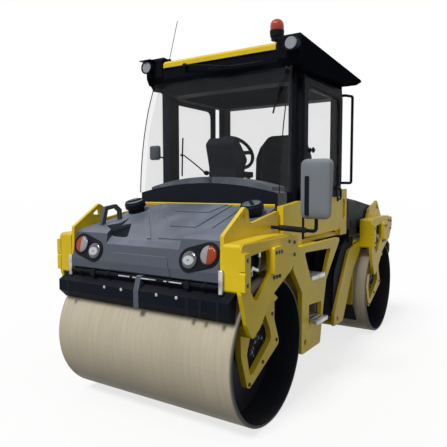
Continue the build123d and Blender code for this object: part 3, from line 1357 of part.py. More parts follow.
# Rear frame: deck over the drum with the wall in front of it
with BuildPart() as rear_deck:
    block(-FRAME_END_X + DECK_SETBACK, REAR_WALL_FRONT_X, -PLATE_INNER_Y, PLATE_INNER_Y, DECK_Z, DECK_TOP_Z)
    block(REAR_WALL_X, REAR_WALL_FRONT_X, -PLATE_INNER_Y, PLATE_INNER_Y, BELLY_Z + REAR_WALL_RISE, DECK_Z)
save(rear_deck, "rear_deck")

# Rear side plates with lifting peaks and the legs that reach down and forwards
toe_x = REAR_LEG_TOE[0]
toe_z = DECK_Z + REAR_LEG_TOE[1]
with BuildPart() as rear_plate:
    slab(
        [
            (-FRAME_END_X, DRUM_TOP_Z - PLATE_FOOT_DROP),
            (-FRAME_END_X + PLATE_FOOT_LENGTH, DRUM_TOP_Z - PLATE_FOOT_DROP),
            (-FRAME_END_X + PLATE_FOOT_LENGTH + PLATE_ARCH_LENGTH, DECK_Z),
            (REAR_ARCH_AHEAD - HUB_X, DECK_Z),
            *moved(REAR_LEG_UNDER, 0, DECK_Z),
            (toe_x, toe_z),
            *moved(REAR_LEG_OVER, 0, DECK_Z),
            *moved(turned(REAR_PEAK_EDGE), -HUB_X, DRUM_TOP_Z),
        ],
        PLATE_INNER_Y,
        PLATE_OUTER_Y,
        PLATE_CORNER,
    )
    slab(
        moved(turned(REAR_PEAK_HOLE), -HUB_X, DRUM_TOP_Z),
        PLATE_INNER_Y,
        PLATE_OUTER_Y,
        PEAK_HOLE_CORNER,
        Mode.SUBTRACT,
    )
    round_bar(
        toe_x + TIE_DOWN_REAR[0],
        toe_z + TIE_DOWN_REAR[1],
        TIE_DOWN_RADIUS,
        PLATE_INNER_Y,
        PLATE_OUTER_Y,
        Mode.SUBTRACT,
    )
    # Foot plate that ties the leg's lower end inwards
    block(
        REAR_LEG_UNDER[1][0] + REAR_FOOT_THICKNESS,
        toe_x - REAR_FOOT_THICKNESS,
        PLATE_INNER_Y - REAR_FOOT_REACH,
        PLATE_INNER_Y,
        toe_z,
        toe_z + SHELF_THICKNESS,
    )
both_sides(rear_plate, "rear_side_plates")

# Core box, yoke of the steering joint and dark side covers
with BuildPart() as rear_core:
    block(
        REAR_WALL_FRONT_X,
        CORE_FRONT_X,
        -CORE_HALF_WIDTH,
        CORE_HALF_WIDTH,
        BELLY_Z + CORE_FOOT_RISE,
        DECK_TOP_Z,
    )
    block(CORE_FRONT_X, 0, -BARREL_RADIUS, BARREL_RADIUS, BARREL_BOTTOM_Z, BARREL_TOP_Z)
    upright(0, 0, BARREL_RADIUS, BARREL_BOTTOM_Z, BARREL_TOP_Z)
    upright(0, 0, PIN_DIAMETER / 2 + PIN_CLEARANCE, BARREL_BOTTOM_Z, BARREL_TOP_Z, Mode.SUBTRACT)
    cover_inner_y = PLATE_INNER_Y - COVER_THICKNESS
    for side in (1, -1):
        y_low, y_high = on_side(side, cover_inner_y, PLATE_INNER_Y - SEAT_GAP)
        slab(moved(COVER_OUTLINE, REAR_WALL_FRONT_X, DECK_Z), y_low, y_high, COVER_CORNER)
        y_low, y_high = on_side(side, CORE_HALF_WIDTH, cover_inner_y)
        block(
            REAR_WALL_FRONT_X,
            REAR_WALL_FRONT_X + COVER_RIB,
            y_low,
            y_high,
            DECK_Z + COVER_OUTLINE[0][1],
            DECK_TOP_Z,
        )
save(rear_core, "rear_core")

with BuildPart() as engine:
    block(
        -HUB_X - ENGINE_BEHIND,
        -HUB_X + ENGINE_AHEAD,
        -ENGINE_HALF_WIDTH,
        ENGINE_HALF_WIDTH,
        DECK_TOP_Z,
        DECK_TOP_Z + ENGINE_HEIGHT,
    )
    chamfer(edges().filter_by(Axis.X).group_by(Axis.Z)[-1], ENGINE_CHAMFER)
save(engine, "engine")


# Rear hood: a shell with louvred sides that tips up about its rear edge
def hood_outline(wall):
    """Side view of the hood, a wall's thickness inside its outer face."""
    return [
        (0, HOOD_BOTTOM_Z - wall),
        (0, HOOD_BOTTOM_Z + HOOD_TOP_RISE - wall),
        *moved(HOOD_FALL, 0, HOOD_BOTTOM_Z - wall),
        (HOOD_REAR_X + HOOD_TAIL[0] + wall / 2, HOOD_BOTTOM_Z + HOOD_TAIL[1] - wall),
        (HOOD_REAR_X + wall, HOOD_BOTTOM_Z + HOOD_TAIL_RISE),
        (HOOD_REAR_X + wall, HOOD_BOTTOM_Z - wall),
    ]


with BuildPart() as hood_inside:
    slab(hood_outline(HOOD_WALL), HOOD_WALL - REAR_HOOD_HALF_WIDTH, REAR_HOOD_HALF_WIDTH - HOOD_WALL)
    upright(
        0,
        0,
        HOOD_SWEEP_RADIUS + HOOD_WALL,
        HOOD_BOTTOM_Z - HOOD_WALL,
        HOOD_BOTTOM_Z + HOOD_TOP_RISE,
        Mode.SUBTRACT,
    )
with BuildPart() as rear_hood:
    slab(hood_outline(0), -REAR_HOOD_HALF_WIDTH, REAR_HOOD_HALF_WIDTH)
    chamfer(edges().filter_by(Axis.Y, reverse=True).group_by(Axis.Z)[-1], HOOD_ROUND)
    upright(0, 0, HOOD_SWEEP_RADIUS, HOOD_BOTTOM_Z, HOOD_BOTTOM_Z + HOOD_TOP_RISE, Mode.SUBTRACT)
    add(hood_inside.part, mode=Mode.SUBTRACT)
    with BuildSketch(side_plane(-REAR_HOOD_HALF_WIDTH)):
        louvre_xs = [LOUVRE_START_X - step * LOUVRE_PITCH for step in range(LOUVRE_COUNT)]
        with Locations(*[(louvre_x, HOOD_BOTTOM_Z + LOUVRE_RISE) for louvre_x in louvre_xs]):
            Rectangle(*LOUVRE_SIZE)
    extrude(amount=-2 * REAR_HOOD_HALF_WIDTH, mode=Mode.SUBTRACT)
    for side in (1, -1):
        # Notch for the hinge ear, and a hinge tube beside it
        y_low, y_high = on_side(side, HOOD_EAR_Y - HOOD_EAR_GAP, HOOD_EAR_Y + HOOD_EAR_WIDTH + HOOD_EAR_GAP)
        block(
            HOOD_REAR_X - HOOD_WALL,
            HOOD_AXIS[0] + HOOD_NOTCH[0],
            y_low,
            y_high,
            HOOD_BOTTOM_Z - HOOD_WALL,
            HOOD_AXIS[1] + HOOD_NOTCH[1],
            Mode.SUBTRACT,
        )
        y_low, y_high = on_side(side, HOOD_EAR_Y - HOOD_EAR_GAP, HOOD_EAR_Y - HOOD_EAR_GAP - HOOD_TUBE_LENGTH)
        block(
            HOOD_REAR_X + HOOD_WALL / 2,
            HOOD_AXIS[0],
            y_low,
            y_high,
            HOOD_AXIS[1] - HOOD_TUBE_WEB,
            HOOD_AXIS[1] + HOOD_TUBE_WEB,
        )
        round_bar(*HOOD_AXIS, HOOD_TUBE_RADIUS, y_low, y_high)
        round_bar(*HOOD_AXIS, HOOD_PIN_RADIUS + HINGE_CLEARANCE, y_low, y_high, Mode.SUBTRACT)
save(rear_hood, "rear_hood")

# Rear panel with cooling slots, and the ears and pins of the hood's hinge
with BuildPart() as rear_panel:
    panel_low_z = DRUM_TOP_Z + REAR_PANEL_RISE
    block(
        HOOD_REAR_X,
        HOOD_REAR_X + REAR_PANEL_THICKNESS,
        -PLATE_INNER_Y,
        PLATE_INNER_Y,
        panel_low_z,
        REAR_PANEL_TOP_Z,
    )
    block(
        HOOD_REAR_X + REAR_PANEL_THICKNESS,
        -FRAME_END_X + DECK_SETBACK,
        -PLATE_INNER_Y,
        PLATE_INNER_Y,
        DECK_TOP_Z,
        DECK_TOP_Z + DECK_THICKNESS,
    )
    with BuildSketch(Plane.YZ.offset(HOOD_REAR_X)):
        with Locations((0, (DECK_TOP_Z + DECK_THICKNESS + REAR_PANEL_TOP_Z) / 2)):
            with GridLocations(*REAR_SLOT_PITCH, *REAR_SLOT_COUNT):
                Rectangle(*REAR_SLOT_SIZE)
    extrude(amount=REAR_PANEL_THICKNESS, mode=Mode.SUBTRACT)
    for side in (1, -1):
        y_low, y_high = on_side(side, HOOD_EAR_Y, HOOD_EAR_Y + HOOD_EAR_WIDTH)
        block(
            HOOD_REAR_X + HOOD_EAR_INSET,
            HOOD_AXIS[0] + HOOD_TUBE_RADIUS,
            y_low,
            y_high,
            REAR_PANEL_TOP_Z - HOOD_EAR_DROP,
            HOOD_AXIS[1] + HOOD_EAR_HEIGHT,
        )
        y_low, y_high = on_side(side, HOOD_EAR_Y - HOOD_TUBE_LENGTH, HOOD_EAR_Y + HOOD_EAR_WIDTH)
        round_bar(*HOOD_AXIS, HOOD_PIN_RADIUS, y_low, y_high)
save(rear_panel, "rear_panel")

with BuildPart() as rear_lamps:
    with BuildSketch(Plane.YZ.offset(HOOD_REAR_X)):
        with Locations(*[(side * REAR_LAMP_Y, REAR_PANEL_TOP_Z - REAR_LAMP_DROP) for side in (1, -1)]):
            Circle(REAR_LAMP_RADIUS)
    extrude(amount=-LAMP_DEPTH / 2)
save(rear_lamps, "rear_lamps")
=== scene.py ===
"""Looks of the tandem road roller: materials, trim, seat padding, floor, light and camera.

Everything is in metres in the part's own frame: +X forwards, +Y to the left, +Z up, ground at z = 0.
Lists of points are given in millimetres, through mm().
"""

import json
import math

import bmesh
import bpy
from mathutils import Matrix, Vector


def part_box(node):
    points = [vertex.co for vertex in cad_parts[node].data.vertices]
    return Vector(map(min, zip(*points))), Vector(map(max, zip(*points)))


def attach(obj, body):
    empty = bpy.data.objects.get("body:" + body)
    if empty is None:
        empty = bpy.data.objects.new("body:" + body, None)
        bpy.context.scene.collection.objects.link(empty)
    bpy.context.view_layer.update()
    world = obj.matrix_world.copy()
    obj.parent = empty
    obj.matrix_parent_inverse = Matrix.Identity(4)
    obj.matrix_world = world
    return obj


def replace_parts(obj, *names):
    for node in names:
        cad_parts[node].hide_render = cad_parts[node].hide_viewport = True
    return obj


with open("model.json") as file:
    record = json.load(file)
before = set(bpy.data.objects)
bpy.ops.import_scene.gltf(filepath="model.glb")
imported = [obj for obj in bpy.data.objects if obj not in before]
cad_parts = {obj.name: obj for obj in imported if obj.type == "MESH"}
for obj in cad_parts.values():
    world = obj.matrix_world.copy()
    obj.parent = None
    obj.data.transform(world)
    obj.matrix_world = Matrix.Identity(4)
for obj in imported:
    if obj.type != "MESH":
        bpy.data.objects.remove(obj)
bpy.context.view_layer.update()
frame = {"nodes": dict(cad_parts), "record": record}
NODES = frame["nodes"]

# Photograph's camera
CAMERA_PLACE = Vector((4.6412, 2.4847, 1.7577))
CAMERA_YAW = -2.57025
CAMERA_PITCH = -0.07319
CAMERA_ROLL = 0.0018
CAMERA_LENS_MM = 39.83
CAMERA_SENSOR_MM = 36.0

# Light and floor
SUN_DIRECTION = Vector((0.63, -0.03, 0.77))
SUN_STRENGTH = 2.45
SUN_ANGLE = math.radians(16)
WORLD_STRENGTH = 0.37
FLOOR_HALF_SIZE = 60.0
FLOOR_BOUNCE = 0.1
FLOOR_WHITE_SHARE = 0.75

# Places on the frame that the trim is set on
FORWARD = Vector((1, 0, 0))
LEFT = Vector((0, 1, 0))
UP = Vector((0, 0, 1))
SIDES = {1: "left", -1: "right"}
DRUM_LOW, DRUM_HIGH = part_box("front_drum")
HUB_X = (DRUM_LOW.x + DRUM_HIGH.x) / 2
HUB_Z = (DRUM_LOW.z + DRUM_HIGH.z) / 2
DRUM_RADIUS = (DRUM_HIGH.z - DRUM_LOW.z) / 2
DRUM_EDGE_Y = DRUM_HIGH.y
FORK_BOSS_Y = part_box("front_fork_left")[1].y
FORK_ARM_OUT = 0.038
FORK_ARM_Y = DRUM_EDGE_Y + FORK_ARM_OUT
LOOP_INSET = 0.06
LOOP_Y = DRUM_EDGE_Y - LOOP_INSET
CARRIER_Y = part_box("front_drum_carriers")[1].y
PLATE_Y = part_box("front_side_plates")[1].y
HOOD_HALF_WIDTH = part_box("front_hood")[1].y
DOOR_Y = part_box("door_left_frame")[1].y
FLOOR_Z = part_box("cab_frame")[0].z
GLASS_EDGE_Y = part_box("windscreen")[1].y
COWL_FACE_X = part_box("dashboard")[1].x
ROOF_FRONT_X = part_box("cab_roof")[1].x

# Front hood: its slope falls forwards from the rear edge, its nose leans back from the lip
SLOPE_TOP = Vector((1.105, 0, 1.6))
SLOPE_FOOT = Vector((1.865, 0, 1.362))
SLOPE_ALONG = (SLOPE_FOOT - SLOPE_TOP).normalized()
SLOPE_OUT = Vector((-SLOPE_ALONG.z, 0, SLOPE_ALONG.x))
NOSE_LOW = Vector((1.95, 0, 1.19))
NOSE_HIGH = Vector((1.912, 0, 1.322))
NOSE_UP = (NOSE_HIGH - NOSE_LOW).normalized()
NOSE_OUT = Vector((NOSE_UP.z, 0, -NOSE_UP.x))
HEADLAMP_Y = 0.4647
HEADLAMP_RISE = 0.073
HEADLAMP_RADIUS = 0.066
HEADLAMP_Z = (NOSE_LOW + NOSE_UP * HEADLAMP_RISE).z
INDICATOR_Y = 0.6177
INDICATOR_RISE = 0.116
INDICATOR_RADIUS = 0.068

# Windscreen: three points of its outer arc
GLASS_FOOT = Vector((1.096, 0, 1.71))
GLASS_BELLY = Vector((1.025, 0, 2.28))
GLASS_HEAD = Vector((0.87, 0, 2.75))

# Fineness of trim, and how deep it sits in what it is set on
ROUND_SIDES = 20
FINE_SIDES = 2 * ROUND_SIDES
COARSE_SIDES = ROUND_SIDES // 2
HEX_SIDES = 6
CORNER_STEPS = 5
SMOOTH_ANGLE = math.radians(35)
BEVEL_SEGMENTS = 2
SUNK = 0.001

# Colour sockets of a Mix node
MIX_FIRST = 6
MIX_SECOND = 7
MIX_RESULT = 2


class Tree:
    """Nodes of a material or of the world."""

    def __init__(self, owner):
        owner.use_nodes = True
        self.nodes = owner.node_tree.nodes
        self.links = owner.node_tree.links

    def feed(self, socket, value):
        """Links a socket, or sets its plain value."""
        if isinstance(value, bpy.types.NodeSocket):
            self.links.new(value, socket)
        else:
            socket.default_value = (*value, 1) if socket.type == "RGBA" else value

    def node(self, kind, inputs=(), output=0, **settings):
        """Adds a node, feeds its inputs by name or number, and gives one output."""
        made = self.nodes.new("ShaderNode" + kind)
        for key, value in settings.items():
            setattr(made, key, value)
        for key, value in dict(inputs).items():
            self.feed(made.inputs[key], value)
        return made.outputs[output]

    def math(self, operation, *values):
        """One Math node."""
        return self.node("Math", enumerate(values), operation=operation)

    def by_sight(self, unseen, seen):
        """The second value for rays from the camera or through gloss and glass, else the first."""
        path = self.node("LightPath").node.outputs
        direct = path["Is Camera Ray"]
        for name in ("Is Glossy Ray", "Is Transmission Ray"):
            direct = self.math("MAXIMUM", direct, path[name])
        return self.node("MapRange", {"Value": direct, "To Min": unseen, "To Max": seen})


class Graph(Tree):
    """Nodes of one material, built round its Principled shader."""

    def __init__(self, name, roughness, metallic=0.0):
        self.material = bpy.data.materials.new(name)
        super().__init__(self.material)
        self.shader = self.nodes["Principled BSDF"]
        self.set(roughness=roughness, metallic=metallic)
        self.place = self.node("TexCoord", output="Object")

    def set(self, **values):
        """Feeds shader sockets by name, with _ for spaces."""
        for key, value in values.items():
            name = key.replace("_", " ").title().replace("Ior", "IOR")
            self.feed(self.shader.inputs[name], value)

    def times(self, first, second):
        """Product of two values."""
        return self.math("MULTIPLY", first, second)

    def noise(self, scale, detail=4.0, vector=None):
        """Noise between 0 and 1, scale in waves a metre."""
        inputs = {"Scale": scale, "Detail": detail, "Vector": vector or self.place}
        return self.node("TexNoise", inputs, "Fac")

    def wave(self, scale, direction):
        """Even bands between 0 and 1."""
        inputs = {"Scale": scale, "Vector": self.place}
        return self.node("TexWave", inputs, "Fac", wave_type="BANDS", bands_direction=direction)

    def remap(self, value, low, high, to_low=0.0, to_high=1.0):
        """Maps a range of values smoothly to another, clamped."""
        inputs = enumerate((value, low, high, to_low, to_high))
        return self.node("MapRange", inputs, interpolation_type="SMOOTHSTEP")

    def mix(self, share, first, second):
        """Blends two colours."""
        inputs = {"Factor": share, MIX_FIRST: first, MIX_SECOND: second}
        return self.node("Mix", inputs, MIX_RESULT, data_type="RGBA")

    def split(self, vector=None):
        """X, Y and Z of a vector, or of the place."""
        return self.node("SeparateXYZ", {0: vector or self.place}).node.outputs

    def upward(self):
        """1 where the surface faces up, 0 where it faces sideways or down."""
        return self.remap(self.split(self.node("NewGeometry", output="Normal"))[2], 0.2, 0.95)

    def edge(self, radius):
        """1 near sharp edges and 0 on flat faces."""
        soft = self.node("Bevel", {"Radius": radius}, samples=4)
        normal = self.node("NewGeometry", output="Normal")
        likeness = self.node("VectorMath", {0: soft, 1: normal}, "Value", operation="DOT_PRODUCT")
        return self.remap(likeness, 0.97, 0.8)

    def distance(self, first, second):
        """Length of a step with two parts at right angles."""
        squares = [self.math("POWER", part, 2.0) for part in (first, second)]
        return self.math("SQRT", self.math("ADD", *squares))

    def bump(self, height, strength, distance):
        """Roughens the surface by a height map."""
        inputs = {"Strength": strength, "Distance": distance, "Height": height}
        self.set(normal=self.node("Bump", inputs))


# Colours as linear red, green and blue
WHITE = (1, 1, 1)
YELLOW = (0.82, 0.605, 0.012)
YELLOW_DEEP = (0.7, 0.49, 0.008)
BLACK = (0.007, 0.0085, 0.014)
BLACK_WORN = (0.009, 0.011, 0.018)
DUST = (0.36, 0.3, 0.21)
PRIMER = (0.2, 0.17, 0.12)
PLASTIC = (0.005, 0.0065, 0.011)
PLASTIC_WORN = (0.022, 0.026, 0.037)
# Painted highlight: pale tones that stand for light falling on the dash's top
PAINTED_LIT_DASH = (0.105, 0.12, 0.145)
PAINTED_LIT_DASH_PALE = (0.17, 0.19, 0.22)
TAN = (0.5, 0.44, 0.325)
TAN_PALE = (0.555, 0.495, 0.375)
TAN_STAIN = (0.43, 0.375, 0.27)
TAN_GRIT = (0.3, 0.25, 0.18)
DRUM_RIM = (0.07, 0.065, 0.06)
DRUM_SCUFF = (0.035, 0.032, 0.03)
REFLECTOR = (0.62, 0.65, 0.68)
REFLECTOR_RIB = (0.34, 0.37, 0.41)
LAMP_DISH = (0.055, 0.06, 0.07)
LAMP_BULB = (0.12, 0.13, 0.15)
CLEAR = (0.38, 0.39, 0.4)
CLEAR_RIB = (0.22, 0.23, 0.25)
AMBER = (0.42, 0.052, 0.001)
AMBER_RIB = (0.24, 0.024, 0.001)

# Sizes and shares that the materials below keep to
PANE_ALPHA = 0.072
GRAIN_BUMP = (0.25, 0.0015)
COWL_DEPTHS = (0.012, 0.03)
STREAKS_ROUND = 0.5
STREAKS_ACROSS = 11.0
RIM_WIDTH = 0.022
RUNNING_DEPTHS = (0.014, 0.004)
BRUSH_STRETCH = (1.0, 6.0, 1.0)
OVAL = 1.45
OVAL_EDGE = (0.62, 0.74)
BULB_EDGE = (0.14, 0.2)
AMBER_EDGE = (-0.006, 0.0)


# In the makers below, noise takes waves a metre and detail, remap a range to map from and one to map to
def painted(name, main, deep, roughness, dust_share, gloss):
    """Sprayed paint: fine orange peel, slow colour change, worn edges, road dust low down."""
    g = Graph(name, roughness)
    cloud = g.noise(1.7, 5.0)
    speck = g.noise(46.0, 6.0)
    tone = g.mix(g.remap(cloud, 0.35, 0.7), main, deep)
    low = g.times(g.remap(g.split()[2], 1.0, 0.2), g.remap(speck, 0.42, 0.7))
    flat = g.times(g.upward(), g.remap(cloud, 0.3, 0.75))
    dust = g.times(g.math("MAXIMUM", low, flat), dust_share)
    worn = g.times(g.edge(0.006), g.remap(g.noise(30.0, 6.0), 0.5, 0.68, 0.0, 0.6))
    uneven = g.remap(speck, 0.2, 0.8, roughness - 0.06, roughness + 0.08)
    g.set(base_color=g.mix(worn, g.mix(dust, tone, DUST), PRIMER))
    g.set(roughness=g.math("ADD", g.times(dust, 0.5), uneven))
    g.set(coat_weight=gloss, coat_roughness=0.15, specular_ior_level=0.03 + 2.0 * gloss)
    g.bump(g.noise(420.0, 2.0), 0.08, 0.001)
    return g.material


def moulded(name, main, light, roughness, dust_share, gloss=0.35):
    """Moulded plastic with a fine leathery grain; faces that look up are blended towards the pale tone,
    partly as dust and partly as a painted highlight of the lit top.
    """
    g = Graph(name, roughness)
    cloud = g.noise(3.0, 6.0)
    fine = g.noise(700.0, 3.0)
    # faces that look up go towards the pale tone: partly dust, partly a painted highlight where light falls
    # on top
    dust = g.times(g.upward(), g.remap(cloud, 0.3, 0.75, 0.3 * dust_share, dust_share))
    tone = g.mix(g.remap(fine, 0.35, 0.7, 0.0, 0.22), main, light)
    worn = g.times(g.edge(0.008), 0.4)
    g.set(base_color=g.mix(worn, g.mix(dust, tone, light), light))
    g.set(roughness=g.remap(cloud, 0.3, 0.7, roughness - 0.07, roughness + 0.1), specular_ior_level=gloss)
    g.bump(fine, *GRAIN_BUMP)
    return g.material


def dash_plastic(name):
    """Moulded dash: black cowl face in front, and behind it a paler grained top whose pale tone is a painted
    highlight of the lit top face.
    """
    g = Graph(name, 0.55)
    fine = g.noise(500.0, 3.0)
    cloud = g.noise(4.0, 5.0)
    black = g.mix(g.remap(fine, 0.35, 0.7, 0.0, 0.35), PLASTIC, PLASTIC_WORN)
    # the pale top behind the cowl face is a painted highlight, standing for the lit top of the dash
    pale = g.mix(g.remap(cloud, 0.35, 0.65), PAINTED_LIT_DASH, PAINTED_LIT_DASH_PALE)
    behind = g.remap(g.split()[0], *(COWL_FACE_X - depth for depth in COWL_DEPTHS))
    g.set(base_color=g.mix(behind, black, pale), specular_ior_level=0.08)
    g.bump(fine, *GRAIN_BUMP)
    return g.material


def rubber(name, roughness, gloss):
    """Black rubber of hoses, seals and wiper blades, greyed by dust."""
    g = Graph(name, roughness)
    bloom = g.noise(25.0, 6.0)
    g.set(base_color=g.mix(g.remap(bloom, 0.4, 0.75), (0.01, 0.01, 0.011), (0.035, 0.034, 0.032)))
    g.set(roughness=g.remap(bloom, 0.3, 0.7, roughness - 0.1, roughness + 0.1), specular_ior_level=gloss)
    g.bump(g.noise(300.0, 3.0), 0.2, 0.001)
    return g.material


def drum_steel(name, hub_x):
    """Rolled steel: tan on the running face with faint streaks round it, dark ends with scuffed rims."""
    g = Graph(name, 0.5)
    x, y, z = g.split()
    across = g.math("SUBTRACT", x, hub_x)
    up = g.math("SUBTRACT", z, HUB_Z)
    turn = g.math("ARCTAN2", up, across)
    wrap = g.node("CombineXYZ", {0: g.times(turn, STREAKS_ROUND), 1: g.times(y, STREAKS_ACROSS)})
    streak = g.noise(3.0, 8.0, wrap)
    patch = g.noise(1.6, 5.0)
    grit = g.noise(180.0, 4.0)
    tan = g.mix(g.remap(streak, 0.3, 0.7), TAN, TAN_PALE)
    tan = g.mix(g.remap(patch, 0.45, 0.75, 0.0, 0.45), tan, TAN_STAIN)
    tan = g.mix(g.remap(grit, 0.5, 0.8, 0.0, 0.25), tan, TAN_GRIT)
    rim = g.remap(g.math("ABSOLUTE", y), DRUM_EDGE_Y - RIM_WIDTH, DRUM_EDGE_Y, 0.0, 0.85)
    tan = g.mix(rim, tan, DRUM_RIM)
    dark = g.mix(g.remap(patch, 0.4, 0.7, 0.0, 0.5), BLACK, DRUM_SCUFF)
    running = g.remap(g.distance(across, up), *(DRUM_RADIUS - depth for depth in RUNNING_DEPTHS))
    g.set(base_color=g.mix(running, dark, tan))
    g.set(roughness=g.remap(streak, 0.3, 0.7, 0.42, 0.58), specular_ior_level=0.2)
    g.bump(g.math("ADD", streak, g.times(grit, 0.4)), 0.05, 0.002)
    return g.material


def bare_metal(name, main, dark):
    """Bare or zinc-plated steel with fine brushing and scuffs."""
    g = Graph(name, 0.35, 0.9)
    stretched = g.node("VectorMath", {0: g.place, 1: BRUSH_STRETCH}, operation="MULTIPLY")
    brush = g.noise(60.0, 5.0, stretched)
    scuff = g.noise(14.0, 6.0)
    g.set(base_color=g.mix(g.remap(scuff, 0.4, 0.7), main, dark))
    g.set(roughness=g.remap(brush, 0.3, 0.7, 0.25, 0.48))
    g.bump(brush, 0.08, 0.001)
    return g.material


def pane(name, tint, film_tone):
    """Tinted safety glass with a light film of dust; light passes straight through it."""
    g = Graph(name, 0.03)
    film = g.noise(5.0, 6.0)
    g.set(base_color=g.mix(g.remap(film, 0.35, 0.75, 0.0, 0.5), tint, film_tone))
    g.set(roughness=g.remap(film, 0.4, 0.8, 0.02, 0.12), alpha=PANE_ALPHA, specular_ior_level=1.0)
    return g.material


def lens(name, main, deep, clearness, ribs):
    """Lamp lens: coloured plastic with moulded ribs."""
    g = Graph(name, 0.12)
    rib = g.wave(ribs, "Y")
    g.set(base_color=g.mix(rib, main, deep))
    g.set(transmission_weight=clearness, ior=1.49, coat_weight=0.2, specular_ior_level=0.3)
    g.bump(rib, 0.35, 0.003)
    return g.material


def headlamp_lens(name, middle_y, middle_z, radius):
    """Clear lamp glass over a bright oval reflector in a dark dish."""
    g = Graph(name, 0.1)
    _, y, z = g.split()
    aside = g.math("SUBTRACT", g.math("ABSOLUTE", y), middle_y)
    above = g.times(g.math("SUBTRACT", z, middle_z), OVAL)
    out = g.math("DIVIDE", g.distance(aside, above), radius)
    rib = g.wave(26.0, "Y")
    dish = g.mix(g.remap(out, *OVAL_EDGE), g.mix(rib, REFLECTOR, REFLECTOR_RIB), LAMP_DISH)
    g.set(base_color=g.mix(g.remap(out, *BULB_EDGE, 0.75, 0.0), dish, LAMP_BULB))
    g.set(coat_weight=0.8, coat_roughness=0.03)
    g.bump(rib, 0.2, 0.002)
    return g.material


def indicator_lens(name, middle_y):
    """Turn and side lamp in one: amber outside the middle, clear inside it."""
    g = Graph(name, 0.12)
    aside = g.math("SUBTRACT", g.math("ABSOLUTE", g.split()[1]), middle_y)
    rib = g.wave(34.0, "Y")
    clear = g.mix(rib, CLEAR, CLEAR_RIB)
    amber = g.mix(rib, AMBER, AMBER_RIB)
    g.set(base_color=g.mix(g.remap(aside, *AMBER_EDGE), clear, amber))
    g.set(coat_weight=0.15, coat_roughness=0.05, specular_ior_level=0.2)
    g.bump(rib, 0.3, 0.003)
    return g.material


def mirror_face(name):
    """Silvered mirror glass with a faint film of dust."""
    g = Graph(name, 0.04, 1.0)
    film = g.noise(18.0, 6.0)
    g.set(base_color=g.mix(g.remap(film, 0.4, 0.8), (0.8, 0.82, 0.83), (0.64, 0.65, 0.64)))
    g.set(roughness=g.remap(film, 0.4, 0.8, 0.02, 0.14))
    return g.material


def woven(name, main, light):
    """Hard-wearing seat cloth: a plain weave with darker thread gaps."""
    g = Graph(name, 0.85)
    thread = g.times(g.wave(130.0, "Y"), g.wave(130.0, "DIAGONAL"))
    wear = g.remap(g.noise(9.0, 5.0), 0.4, 0.7, 0.0, 0.3)
    g.set(base_color=g.mix(g.math("ADD", g.times(thread, 0.6), wear), main, light))
    g.set(sheen_weight=0.05, specular_ior_level=0.1)
    g.bump(thread, 0.4, 0.002)
    return g.material


MATERIALS = {
    "paint_yellow": painted("yellow_paint", YELLOW, YELLOW_DEEP, 0.42, 0.25, 0.1),
    "dark_paint": painted("dark_paint", BLACK, BLACK_WORN, 0.5, 0.03, 0.0),
    # the slate's pale tone and its large share on top faces are partly a painted highlight of the hood's lit
    # top
    "dark_plastic": moulded("slate_plastic", (0.047, 0.055, 0.075), (0.225, 0.255, 0.325), 0.5, 0.7),
    "grey_plastic": moulded("grey_plastic", (0.17, 0.19, 0.215), (0.27, 0.29, 0.31), 0.45, 0.5),
    "bare_steel": bare_metal("bare_steel", (0.55, 0.55, 0.56), (0.3, 0.3, 0.31)),
    "clear_glass": pane("cab_glass", (0.02, 0.026, 0.034), (0.075, 0.075, 0.07)),
    "lamp_glass": lens("clear_lens", (0.5, 0.53, 0.57), (0.3, 0.33, 0.37), 0.2, 30.0),
    "amber_lens": lens("amber_lens", (0.6, 0.05, 0.004), (0.4, 0.026, 0.002), 0.1, 40.0),
    "red_lens": lens("red_lens", (0.45, 0.01, 0.008), (0.28, 0.005, 0.005), 0.2, 40.0),
    "seat_cloth": woven("seat_cloth", (0.008, 0.009, 0.014), (0.026, 0.029, 0.04)),
}
BLACK_PLASTIC = moulded("black_plastic", PLASTIC, PLASTIC_WORN, 0.55, 0.5, 0.08)
REAR_SLATE = (0.022, 0.026, 0.036), (0.048, 0.056, 0.074)
NODE_MATERIALS = {
    "front_drum": drum_steel("front_drum_steel", HUB_X),
    "rear_drum": drum_steel("rear_drum_steel", -HUB_X),
    "front_headlamps": headlamp_lens("headlamp_lens", HEADLAMP_Y, HEADLAMP_Z, HEADLAMP_RADIUS),
    "front_indicators": indicator_lens("indicator_lens", INDICATOR_Y),
    "dashboard": dash_plastic("dash_plastic"),
    "steering_console": BLACK_PLASTIC,
    "steering_wheel": BLACK_PLASTIC,
    "tank_caps": BLACK_PLASTIC,
    "cab_roof": moulded("roof_shell", (0.008, 0.009, 0.013), (0.02, 0.022, 0.028), 0.75, 0.3, 0.0),
    "rear_hood": moulded("rear_slate_plastic", *REAR_SLATE, 0.55, 0.5, 0.1),
}
# Finishes of trim: a slot name, and the material that a piece gets
FINISHES = {
    **{slot: (slot, material) for slot, material in MATERIALS.items()},
    "black_trim": ("dark_paint", BLACK_PLASTIC),
    "black_shell": ("dark_plastic", BLACK_PLASTIC),
    "rubber": ("dark_paint", rubber("black_rubber", 0.7, 0.1)),
    "hose_rubber": ("dark_paint", rubber("hose_rubber", 0.35, 0.6)),
    "dark_metal": ("bare_steel", bare_metal("blackened_steel", (0.1, 0.1, 0.105), (0.045, 0.045, 0.05))),
    "front_headlamps": ("lamp_glass", NODE_MATERIALS["front_headlamps"]),
    "front_indicators": ("amber_lens", NODE_MATERIALS["front_indicators"]),
    "mirror_glass": ("bare_steel", mirror_face("mirror_glass")),
    "small_mirror_glass": ("bare_steel", mirror_face("small_mirror_glass")),
}

for part in frame["record"]["subparts"]:
    name = part["node"]
    slots = NODES[name].data.materials
    slots.clear()
    slots.append(NODE_MATERIALS.get(name) or MATERIALS[part["material_slot"]])


def mm(*points):
    """Points given in millimetres, in metres."""
    return [tuple(value / 1000 for value in point) for point in points]


